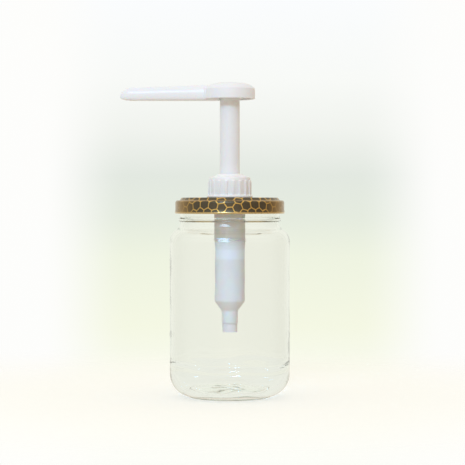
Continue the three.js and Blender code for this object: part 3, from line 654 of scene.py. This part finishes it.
def make_lid():
    low, top, radius = extent("twist_off_lid")
    sheet, hole, panel, panel_drop = 0.6, 14.2, 35.1, 2.0
    corner, skirt, curl = 1.9, radius - 0.62, 0.65
    mid_top = top - sheet / 2
    channel = mid_top - panel_drop
    curl_r, curl_z = radius - sheet / 2 - curl, low + sheet / 2 + curl
    curl_start, curl_end = 25, -232
    lead_in = arc(curl_r, curl_z, curl, curl_start, curl_end, 14)
    corners = [
        (hole, mid_top, 0),
        (panel, mid_top, 0.9),
        (panel + 1.5, channel, 0.9),
        (skirt, channel, corner),
        (skirt, curl_z + 2.2, 1.5),
        (*lead_in[0], 0),
    ]
    path = dense(rounded(corners, closed=False, step=8), 0.9, closed=False) + lead_in[1:]
    outline, flat = sheet_outline(path, sheet)
    curl_rows = range(len(path) - len(lead_in) + 1, len(outline) - len(path) + len(lead_in) - 1)
    lug_reach, lug_angle = 1.25, 14

    def shape(angle, r, z, row):
        # Four lugs: the curl pressed flat and drawn in.
        spacing = 360 / LUG_COUNT
        off = np.abs((np.degrees(angle) + spacing / 2) % spacing - spacing / 2)
        pressed = eased((lug_angle / 2 + 1.5 - off) / 3)
        in_curl = (row >= curl_rows[0]) & (row <= curl_rows[-1])
        share = in_curl * eased((curl_r + 0.3 - r) / (curl + 0.3)) * pressed
        return r - lug_reach * share, z + (curl_z + 0.1 - z) * 0.2 * share

    segments = 240
    piece = lathe("lid_shell", outline, segments, shape, sharp=50)
    turn = np.linspace(0, TAU, segments, endpoint=False)
    angle, distance = np.meshgrid(turn, flat)
    sheet_place = np.stack([distance * np.cos(angle), distance * np.sin(angle), 0 * angle], axis=-1)
    attribute = piece.data.attributes.new("flat_sheet", "FLOAT_VECTOR", "POINT")
    attribute.data.foreach_set("vector", sheet_place.ravel())
    # A cell ends low on the skirt at the front. Below the print, round the curl and on the inside,
    # the tin has plain lacquer.
    edge_z, print_low, beside_panel = 139.6, low + 1.7, panel + 3
    outside = [(z, distance) for (r, z), distance in zip(outline[: len(path)], flat) if r > beside_panel]
    edge_distance = next(distance for z, distance in outside if z < edge_z)
    assign(piece, "twist_off_lid", "printed_tinplate", printed_look(edge_distance), LACQUER)
    printed_rows = next(i for i, (r, z) in enumerate(outline) if r > beside_panel and z < print_low)
    plain = [face.vertices[0] // segments >= printed_rows for face in piece.data.polygons]
    piece.data.polygons.foreach_set("material_index", [int(v) for v in plain])


def make_liner():
    low, high, radius = extent("lid_liner")
    inner = 34.3
    channel_top = low + 1.35
    corners = [
        (inner, low + 0.2, 0.3),
        (radius - 0.3, low, 0.3),
        (radius, channel_top - 0.1, 0.3),
        (36, channel_top, 0.5),
        (inner + 0.5, high, 0.3),
        (inner, high - 0.2, 0.2),
    ]
    turned("lid_compound", "lid_liner", "liner_compound", COMPOUND, corners, 160)


# -------- closure of the pump

THREAD_PITCH = 4
THREAD_TURNS = 1.5
THREAD_START_Z = 148.2
THREAD_DEPTH = 0.95


def make_bushing():
    low, high, radius = extent("neck_bushing")
    flange, root, bore = 1.5, 12.8, 11.65
    corners = [
        (bore, low, 0.2),
        (radius, low, 0.6),
        (radius, low + flange, 0.2),
        (root, low + flange, 0.15),
        (root, high, 0.5),
        (bore, high, 0.2),
    ]

    def shape(angle, r, z, row):
        on_tube = (r > root - 0.05) & (z > low + flange + 0.5)
        rib = thread(angle, z, THREAD_START_Z, THREAD_TURNS, THREAD_PITCH, THREAD_DEPTH)
        return r + on_tube * rib, z

    piece = lathe("bushing", dense(rounded(corners), 0.3), 120, shape)
    assign(piece, "neck_bushing", "white_plastic", WHITE)


def make_collar():
    low, top, radius = extent("closure_collar")
    low -= 0.22  # down to the lid, over the gap that the CAD leaves
    body, rib_r, rib_count, rib_width = 15.2, 15.85, 18, 2.5
    flange, shoulder, boss, bore, plate = 1.6, 160.9, 8.9, 14.1, 160.2
    hole = extent("pump_stem")[2] + 0.45
    rib_low, rib_high = low + flange - 0.1, shoulder - 2.2
    corners = [
        (bore, low, 0.15),
        (radius, low, 0.35),
        (radius, low + flange - 0.2, 0.5),
        (body + 0.1, low + flange + 0.15, 0.4),
        (body, rib_high + 0.1, 0),
        (body - 0.35, shoulder, 0.7),
        (boss + 4.0, shoulder + 0.45, 2.5),
        (boss + 1.2, shoulder + 1.2, 1.5),
        (boss + 0.25, top, 0.6),
        (hole, top, 0.4),
        (hole, plate, 0.15),
        (bore, plate, 0.4),
    ]

    def shape(angle, r, z, row):
        spacing = TAU / rib_count
        off = np.abs(np.mod(angle + spacing / 2, spacing) - spacing / 2) * rib_r
        crest = eased((rib_width / 2 + 0.25 - off) / 0.6)
        high = eased((z - rib_low) / 0.3) * eased((rib_high - z) / 0.5)
        outside = (r > bore + 0.6) & (z < shoulder - 0.5)
        r = r + outside * (rib_r - body) * crest * high * (r < radius - 0.6)
        start_z = THREAD_START_Z + THREAD_PITCH / 2
        inward = thread(angle, z, start_z, THREAD_TURNS, THREAD_PITCH, THREAD_DEPTH)
        in_bore = (r < bore + 0.05) & (r > bore - 0.05) & (z < plate - 0.6)
        return r - in_bore * inward, z

    piece = lathe("collar", dense(rounded(corners), 0.4), 288, shape)
    # The collar wears the brighter copy of the white plastic: painted light against its shade.
    assign(piece, "closure_collar", "white_plastic", PAINTED_BRIGHT_WHITE)


def make_washer(name, node, inner):
    low, high, radius = extent(node)
    turned(name, node, "seal_rubber", RUBBER, box_corners(inner, radius, low, high, 0.25))


# -------- pump housing


def ring_corners(radius_above, radius_below, ring, z):
    """Corners of a moulded ring round the barrel, from the top down."""
    half = 0.42
    return [
        (radius_above, z + half, 0.25),
        (ring, z + half / 2, 0.25),
        (ring, z - half / 2, 0.25),
        (radius_below, z - half, 0.3),
    ]


def make_barrel():
    low, top, flange_r = extent("pump_housing")
    flange, bore, ledge, seat_z, seat = 1.5, 9.8, 71, 62.9, 2.3
    upper, mid, main, spigot, socket = 11.35, 11.2, 11.0, 5.8, 4.9
    ring, ring_z, ring_step, mid_z = 12.0, 118.0, 1.7, 111
    cone_top, cone_low, counterbore = 70.2, 63.2, 11.2
    corners = [
        (flange_r, top, 0.2),
        (flange_r, top - flange, 0.2),
        (upper, top - flange, 0.4),
        *ring_corners(upper, mid, ring, ring_z),
        *ring_corners(mid, mid, ring, ring_z - ring_step),
        (mid, mid_z, 0.2),
        (main, mid_z - 0.5, 0.4),
        (main, cone_top, 2.2),
        (spigot, cone_low, 1.6),
        (spigot, low, 0.35),
        (socket, low, 0.3),
        (socket, seat_z - 1.5, 0.2),
        (seat, seat_z - 1.5, 0.1),
        (seat, seat_z, 0.1),
        (seat + 2.1, seat_z + 2.1, 0.5),
        (bore - 0.9, ledge, 0.2),
        (bore, ledge, 0.2),
        (bore, top - 1.6, 0.1),
        (counterbore, top - 1.6, 0.1),
        (counterbore, top, 0.2),
    ]
    barrel = lathe("barrel", dense(rounded(corners), 2.5), 128)
    vent_z, vent, sides = 139, 0.8, 24
    rim = circle(vent, sides, (0, vent_z))
    drill = loft("vent_drill", [[(x, y, z) for x, z in rim] for y in (bore - 1, upper + 1)])
    combine(barrel, [drill], "DIFFERENCE")
    assign(barrel, "pump_housing", "milky_plastic", BARREL)


def make_guide():
    low, top, flange_r = extent("stem_guide")
    bore, outer, flange, recess_r, recess = 7.55, 9.55, 1.2, 9.05, 156.9
    corners = [
        (bore, low, 0.4),
        (outer, low, 0.4),
        (outer, top - flange, 0.1),
        (flange_r, top - flange, 0.15),
        (flange_r, top, 0.25),
        (recess_r, top, 0.2),
        (recess_r, recess, 0.15),
        (bore, recess, 0.2),
    ]
    turned("guide_sleeve", "stem_guide", "white_plastic", WHITE, corners, spacing=3)


def make_wiper():
    low, top, radius = extent("stem_wiper")
    stem = extent("pump_stem")[2]
    corners = [
        (stem + 0.55, low, 0.2),
        (radius, low, 0.2),
        (radius, top, 0.2),
        (stem + 0.13, top, 0.12),
        (stem + 0.13, top - 0.6, 0.12),
        (stem + 0.55, top - 1.4, 0.2),
    ]
    turned("wiper", "stem_wiper", "seal_rubber", RUBBER, corners)


def make_cage():
    low, high, radius = extent("ball_cage")
    bottom, plate = 71.3, 72.5
    corners = [
        (0, low, 0),
        (2, low, 0.3),
        (2.4, bottom, 0.2),
        (radius, bottom, 0.2),
        (radius, plate, 0.2),
        (3.3, plate, 0.2),
        (2.9, high, 0.4),
        (0, high, 0),
    ]
    piece = lathe("cage", rounded(corners, closed=False), 96)
    holes, hole_r, hole_centre, sides = 6, 1.4, (7, 0), 20
    drills = pillars("cage_drill", holes, circle(hole_r, sides, hole_centre), bottom - 1, plate + 1)
    combine(piece, drills, "DIFFERENCE")
    assign(piece, "ball_cage", "milky_plastic", MILKY)


def make_dip_tube():
    low, high, radius = extent("inlet_tube")
    bore, insert, shoulder = 3.4, 4.65, extent("pump_housing")[0] - 0.3
    corners = [
        (bore, low, 0.25),
        (radius, low, 0.35),
        (radius, shoulder, 0.25),
        (insert, shoulder, 0.15),
        (insert, high, 0.3),
        (bore, high, 0.25),
    ]
    turned("dip_tube", "inlet_tube", "milky_plastic", MILKY, corners, spacing=2)


def make_ball(name, node):
    low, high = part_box(node)
    radius = (high.z - low.z) / 2 / MM
    centre_z = (high.z + low.z) / 2 / MM
    outline = arc(0, centre_z, radius, -90, 90, 5)
    outline[0] = (0, outline[0][1])
    outline[-1] = (0, outline[-1][1])
    piece = lathe(name, outline, 64)
    assign(piece, node, "steel", STEEL)


# -------- moving column


def make_stem():
    low, high, radius = extent("pump_stem")
    bore, foot, foot_z = 5.4, 6.6, 131.2
    corners = [
        (bore, low, 0.2),
        (foot, low, 0.3),
        (foot, foot_z, 0.15),
        (radius, foot_z, 0.3),
        (radius, high, 0.3),
        (bore, high, 0.3),
    ]
    turned("stem", "pump_stem", "white_plastic", WHITE, corners, 128, spacing=4)


SEAL_BORE = 6.75


def make_seal():
    low, high, radius = extent("piston_seal")
    bore, sleeve, lip = SEAL_BORE, 7.95, 0.6
    web_low, web_high = (low + high) / 2 - 0.7, (low + high) / 2 + 0.7
    corners = [
        (bore, low, 0.2),
        (sleeve, low, 0.2),
        (sleeve, web_low, 0.3),
        (radius - lip - 0.2, web_low, 0.3),
        (radius - lip, low, 0.15),
        (radius, low, 0.15),
        (radius - 0.25, web_low, 0.5),
        (radius - 0.25, web_high, 0.5),
        (radius, high, 0.15),
        (radius - lip, high, 0.15),
        (radius - lip - 0.2, web_high, 0.3),
        (sleeve, web_high, 0.3),
        (sleeve, high, 0.2),
        (bore, high, 0.2),
    ]
    turned("seal_cup", "piston_seal", "seal_rubber", RUBBER, corners)


def make_retainer():
    low, high, radius = extent("seal_retainer")
    corners = box_corners(SEAL_BORE, radius, low, high, 0.3)
    turned("retainer_ring", "seal_retainer", "milky_plastic", MILKY, corners)


def make_valve():
    low, high, radius = extent("outlet_valve_body")
    seat, seat_z, chamber, lip_r, lip_z = 2.2, low + 1.8, 4.3, 2.775, 157.8
    corners = [
        (seat, low, 0.2),
        (radius, low, 0.3),
        (radius, high, 0.2),
        (lip_r, high, 0.2),
        (lip_r, lip_z, 0.2),
        (chamber, lip_z, 0.2),
        (chamber, seat_z + chamber - seat, 0.3),
        (seat, seat_z, 0.1),
    ]
    piece = lathe("valve_cage", rounded(corners), 96)
    notches, start, half, depth = 3, 0.5, 1.1, 1.3
    rim = [(start, -half), (chamber, -half), (chamber, half), (start, half)]
    combine(piece, pillars("notch", notches, rim, high - depth, high + 1), "DIFFERENCE")
    assign(piece, "outlet_valve_body", "milky_plastic", MILKY)


def make_spring():
    """Compression spring: closed coils at both ends and open ones between."""
    low, high, _ = extent("return_spring")
    wire, mean, turns, closed_turns, steps, sides = 0.5, 4.2, 14, 1.1, 36, 10
    dead = 2 * wire * 1.04
    total = high - low - 2 * wire
    open_pitch = (total - 2 * closed_turns * dead) / (turns - 2 * closed_turns)
    count = steps * turns
    points, height = [], low + wire
    for i in range(count + 1):
        turn = turns * i / count
        angle = TAU * turn
        points.append(Vector((mean * math.cos(angle), mean * math.sin(angle), height)))
        near_end = min(turn, turns - turn)
        share = float(eased((near_end - closed_turns + 0.3) / 0.6))
        height += (dead + (open_pitch - dead) * share) * turns / count
    scale = total / (points[-1].z - points[0].z)
    for point in points:
        point.z = low + wire + (point.z - low - wire) * scale
    sections = []
    for i, point in enumerate(points):
        along = (points[min(i + 1, count)] - points[max(i - 1, 0)]).normalized()
        out = Vector((point.x, point.y, 0)).normalized()
        side = along.cross(out).normalized()
        out = side.cross(along).normalized()
        sections.append([tuple(point + out * u + side * v) for u, v in circle(wire, sides)])
    spring = loft("spring", sections, sharp=60)
    assign(spring, "return_spring", "steel", STEEL)
    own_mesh(spring)


# -------- head and spout

HEAD_EDGE_Z = 225.8
HEAD_EDGE_R = 18.2
HUB_R = 9.2
HEAD_WALL = 1.6
SPOUT_START = 7.7
SPOUT_NOSE = 11  # length over which the end is rounded
SPOUT_LOW_Z = 216.8
CHANNEL_Z = 223.7  # where the spout's channel starts in the head


def dome_z(radius, top, edge_r, edge_z):
    """Height of the dome: flat across the middle, falling ever faster towards the edge."""
    span = edge_r * 1.038

    def fall(r):
        return 1 - math.sqrt(1 - (r / span) ** 3)

    return top - (top - edge_z) * fall(radius) / fall(edge_r)


def dome_points(top, edge_r, edge_z, start, end, steps):
    radii = [start + (end - start) * i / steps for i in range(steps + 1)]
    return [(r, dome_z(r, top, edge_r, edge_z)) for r in radii]


def make_head():
    low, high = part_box("actuator_head")
    top, radius = high.z / MM, (high.y - low.y) / 2 / MM
    skirt_z, hub_z, plug_z = 218.1, 218.4, 208
    plug, plug_bore, socket, socket_z = 5.2, 3.2, 7.55, 220.4
    inside = radius - HEAD_WALL
    edge = [
        (HEAD_EDGE_R, HEAD_EDGE_Z, 0),
        (radius, HEAD_EDGE_Z - 0.35, 0.3),
        (radius, skirt_z, 0.35),
        (inside, skirt_z, 0.35),
        (inside, skirt_z + 1, 0),
    ]
    under_top, under_edge = top - HEAD_WALL, HEAD_EDGE_Z - HEAD_WALL
    core = [
        (HUB_R, skirt_z + 2, 0),
        (HUB_R, hub_z, 0.3),
        (socket, hub_z, 0.3),
        (socket, socket_z, 0.1),
        (plug, socket_z, 0.1),
        (plug, plug_z, 0.4),
        (plug_bore, plug_z, 0.3),
        (plug_bore, CHANNEL_Z, 0),
        (0, CHANNEL_Z, 0),
    ]
    outline = [
        *dome_points(top, HEAD_EDGE_R, HEAD_EDGE_Z, 0, HEAD_EDGE_R, 28)[:-1],
        *rounded(edge, closed=False),
        *dome_points(under_top, inside, under_edge, inside, HUB_R, 8),
        *rounded(core, closed=False),
    ]
    head = lathe("head", outline, 160)
    webs, web_count, half_web, web_steps = [], 6, 0.5, 6
    web_start, web_end, web_low = HUB_R - 0.5, inside + 0.4, skirt_z + 2
    for k in range(web_count):
        sections = []
        for i in range(web_steps + 1):
            r = web_start + (web_end - web_start) * i / web_steps
            web_top = dome_z(min(r, inside), under_top, inside, under_edge) + 0.5
            rim = [(-half_web, web_low), (half_web, web_low), (half_web, web_top), (-half_web, web_top)]
            sections.append([turned_about_axis((r, y, z), TAU * k / web_count) for y, z in rim])
        webs.append(loft(f"web_{k}", sections))
    combine(head, [*webs, spout_body(low)], "UNION")
    combine(head, [spout_channel(low)], "DIFFERENCE")
    assign(head, "actuator_head", "white_plastic", WHITE)


def spout_section(x, tip, count=56):
    """Section of the spout at a distance from the axis: round above and squarer below, with a fillet
    where it meets the head."""
    root_top, tip_top, nose_z, root_half, tip_half = 229, 226.5, 219.6, 4.6, 3.9
    head_r, fillet = 18.0, 1.4
    nose_start = tip - SPOUT_NOSE
    along = min(x / nose_start, 1)
    blunt = math.sqrt(max(0, 1 - max(0, (x - nose_start) / SPOUT_NOSE) ** 2.6))
    top = nose_z + (root_top + (tip_top - root_top) * along - nose_z) * blunt
    half = (root_half + (tip_half - root_half) * along) * blunt
    bottom = nose_z + (SPOUT_LOW_Z - nose_z) * blunt
    from_head = min(max(x - head_r, 0), fillet)
    half += fillet - math.sqrt(fillet**2 - (fillet - from_head) ** 2)
    middle = bottom + (top - bottom) * 0.42
    section = []
    for c, s in circle(1, count):
        power = 0.92 if s > 0 else 0.62
        height = top - middle if s > 0 else middle - bottom
        across = half * math.copysign(abs(c) ** power, c)
        section.append((-x, across, middle + height * math.copysign(abs(s) ** power, s)))
    return section


def spout_body(low):
    tip = AXIS_X - low.x / MM
    nose_start, steps, nose_steps = tip - SPOUT_NOSE, 60, 24
    straight = [SPOUT_START + (nose_start - SPOUT_START) * i / steps for i in range(steps)]
    curved = [nose_start + SPOUT_NOSE * math.sin(TAU / 4 * i / nose_steps) for i in range(nose_steps)]
    return loft("spout", [spout_section(x, tip) for x in [*straight, *curved, tip - 0.003]])


def spout_channel(low):
    """The way along the spout, then down out of the underside of its nose."""
    bore, tip_z, outlet_x, sides = 2.5, 220.6, -74, 32
    narrow = bore * 0.9

    def across(x, z, radius):
        return [(x, y, height) for y, height in circle(radius, sides, (0, z))]

    along = loft("channel", [across(0, CHANNEL_Z, bore), across(outlet_x - 0.6, tip_z, narrow)])
    outlet = circle(narrow, sides, (outlet_x, 0))
    down = loft("outlet", [[(x, y, z) for x, y in outlet] for z in (low.z / MM - 12, tip_z)])
    return combine(along, [down], "UNION")


# -------- everything that is modelled

make_jar()
make_lid()
make_liner()
make_bushing()
make_collar()
make_washer("bushing_washer", "bushing_gasket", 13.1)
make_washer("housing_washer", "housing_gasket", 11.65)
make_barrel()
make_guide()
make_wiper()
make_cage()
make_dip_tube()
make_ball("ball_inlet", "inlet_ball")
make_ball("ball_outlet", "outlet_ball")
make_spring()
make_stem()
make_seal()
make_retainer()
make_valve()
make_head()

# -------- camera, light and floor

BACKDROP = [  # (place on the ramp, colour), from below the horizon up
    (0.15, rgb(0.97, 0.98, 0.94)),
    (0.24, rgb(0.95, 0.97, 0.87)),
    (0.32, rgb(0.91, 0.935, 0.775)),
    (0.42, rgb(0.86, 0.90, 0.755)),
    (0.48, rgb(0.785, 0.835, 0.74)),
    (0.54, rgb(0.765, 0.81, 0.75)),
    (0.61, rgb(0.88, 0.90, 0.86)),
    (0.68, rgb(0.94, 0.955, 0.93)),
    (0.79, rgb(0.96, 0.975, 0.985)),
]
RAMP_STEEPNESS = 2.5  # share of the ramp for a rise of one in the view direction
SIDE_MIDDLE, SIDE_FADE = 0.006, (0.066, 0.118)  # sideways view directions over which it goes white
SURROUND = [  # (direction, cosines over which it fades in, colour), over the one before
    ((0, 1, 0), (-0.2, 0.8), rgb(0.84, 0.84, 0.77)),
    ((0.95, -0.3, 0), (0.2, 0.95), rgb(0.51, 0.41, 0.31)),
    ((-0.95, -0.3, 0), (0.2, 0.95), rgb(0.60, 0.565, 0.51)),
    ((0, 0, 1), (0.2, 0.9), rgb(0.95, 0.87, 0.77)),
    ((0, 0, -1), (0.2, 0.9), rgb(0.80, 0.72, 0.61)),
]
FLOOR_FADE = (0.06, 0.45)  # distances in metres over which the floor fades out
LIGHT_BOUNCES = 32  # enough to get out of the thick glass of the jar's base, which goes black otherwise


def make_camera():
    data = bpy.data.cameras.new("camera")
    data.sensor_width = 36
    data.lens = 132.0
    camera = bpy.data.objects.new("camera", data)
    bpy.context.scene.collection.objects.link(camera)
    aside, distance, eye_height, aim_height = 0.0020, 1.25, 0.142, 0.1204
    camera.location = Vector((AXIS_X * MM + aside, -distance, eye_height))
    aim = Vector((AXIS_X * MM + aside, 0, aim_height))
    camera.rotation_euler = (aim - camera.location).to_track_quat("-Z", "Y").to_euler()
    bpy.context.scene.camera = camera


def direction(azimuth, elevation):
    """Unit vector; azimuth 0 is towards the camera and positive is to its right, in degrees."""
    a, e = math.radians(azimuth), math.radians(elevation)
    return Vector((math.sin(a) * math.cos(e), -math.cos(a) * math.cos(e), math.sin(e)))


def make_softbox(name, azimuth, elevation, distance, size, radiance, colour):
    """Rectangular lamp of that radiance, aimed at the middle of the object."""
    lamp = bpy.data.lights.new(name, "AREA")
    lamp.shape = "RECTANGLE"
    lamp.size, lamp.size_y = size
    lamp.energy = radiance * math.pi * lamp.size * lamp.size_y
    lamp.color = colour
    softbox = bpy.data.objects.new(name, lamp)
    bpy.context.scene.collection.objects.link(softbox)
    middle_height = 0.12
    centre = Vector((AXIS_X * MM, 0, middle_height))
    towards = direction(azimuth, elevation)
    softbox.location = centre + towards * distance
    softbox.rotation_euler = towards.to_track_quat("Z", "Y").to_euler()


def make_world():
    """Pale backdrop for what the camera sees, directly or through the glass, and a softer, uneven
    surround that lights the object."""
    world = bpy.data.worlds.new("studio")
    bpy.context.scene.world = world
    world.use_nodes = True
    nodes = Nodes(world.node_tree)
    place = nodes.node("TexCoord").outputs["Generated"]
    parts = nodes.node("SeparateXYZ", Vector=place).outputs

    def lobe(towards, start, end):
        """0 to 1 as the view direction turns from start to end, as cosines of the angle."""
        return nodes.rise(nodes.vector_math("DOT_PRODUCT", place, towards), start, end, smooth=True)

    ramp = nodes.node("ValToRGB")
    nodes.feed_all(ramp, nodes.math("MULTIPLY_ADD", parts[2], RAMP_STEEPNESS, 0.5))
    elements = ramp.color_ramp.elements
    while len(elements) < len(BACKDROP):
        elements.new(0.5)
    for element, (position, colour) in zip(elements, BACKDROP):
        element.position = position
        element.color = colour
    across = nodes.math("ABSOLUTE", nodes.math("SUBTRACT", parts[0], SIDE_MIDDLE))
    aside = nodes.rise(across, *SIDE_FADE, smooth=True)
    backdrop = nodes.mix(aside, ramp.outputs[0], rgb(0.985, 0.985, 0.97))
    through = nodes.mix(lobe((0, 1, 0), 0.5, 0.92), rgb(0.62, 0.65, 0.56), rgb(0.875, 0.89, 0.785))
    surround = rgb(0.88, 0.75, 0.60)
    for towards, cosines, colour in SURROUND:
        surround = nodes.mix(lobe(towards, *cosines), surround, colour)
    path = nodes.node("LightPath").outputs
    seen = nodes.mix(nodes.seen_through_glass(path), surround, through)
    seen = nodes.mix(path["Is Camera Ray"], seen, backdrop)
    nodes.feed(nodes.tree.nodes["Background"].inputs["Color"], seen)


def make_floor():
    """Plain pale floor that fades into the backdrop. The camera sees it lit, with shadows; glass and
    everything that it lights see an even colour."""
    radius = 1.2
    smallest, growth, count = 0.02 * radius, 1.6, 9
    rings = [0, *[smallest * growth**i for i in range(count)], radius]
    floor = lathe("floor", [(r / MM, 0) for r in rings], 96, solid=False)
    look = Look("floor_paper")
    path = look.node("LightPath").outputs
    glow = look.node("Emission", Color=rgb(0.95, 0.965, 0.90), Strength=0.56)
    dim = look.node("BsdfDiffuse", Color=rgb(0.50, 0.48, 0.44))
    lit = look.node("AddShader")
    look.feed_all(lit, dim.outputs[0], glow.outputs[0])
    through = look.node("Emission", Color=rgb(0.85, 0.87, 0.79))
    bounced = look.node("Emission", Color=rgb(0.76, 0.69, 0.585))
    paper = look.blend(look.seen_through_glass(path), bounced.outputs[0], through.outputs[0])
    paper = look.blend(path["Is Camera Ray"], paper, lit.outputs[0])
    centre = look.vector_math("SUBTRACT", look.node("TexCoord").outputs["Object"], (AXIS_X * MM, 0, 0))
    fade = look.rise(look.vector_math("LENGTH", centre), *FLOOR_FADE, smooth=True)
    look.surface(look.blend(fade, paper, look.node("BsdfTransparent").outputs[0]))
    floor.data.materials.append(look.material)


make_camera()
make_world()
make_floor()
# A broad bluish key, with a smaller white core in front of it that the highlights show.
key_azimuth = -12.6
make_softbox("key", key_azimuth, 29, 1.75, (0.68, 0.30), radiance=12.8, colour=(0.16, 0.53, 1.0))
make_softbox("core", key_azimuth, 28, 1.7, (0.46, 0.18), radiance=14.0, colour=(1.0, 0.99, 0.97))
bpy.context.scene.view_settings.view_transform = "Standard"
bpy.context.scene.cycles.max_bounces = LIGHT_BOUNCES
bpy.context.scene.cycles.glossy_bounces = LIGHT_BOUNCES
bpy.context.scene.cycles.transmission_bounces = LIGHT_BOUNCES
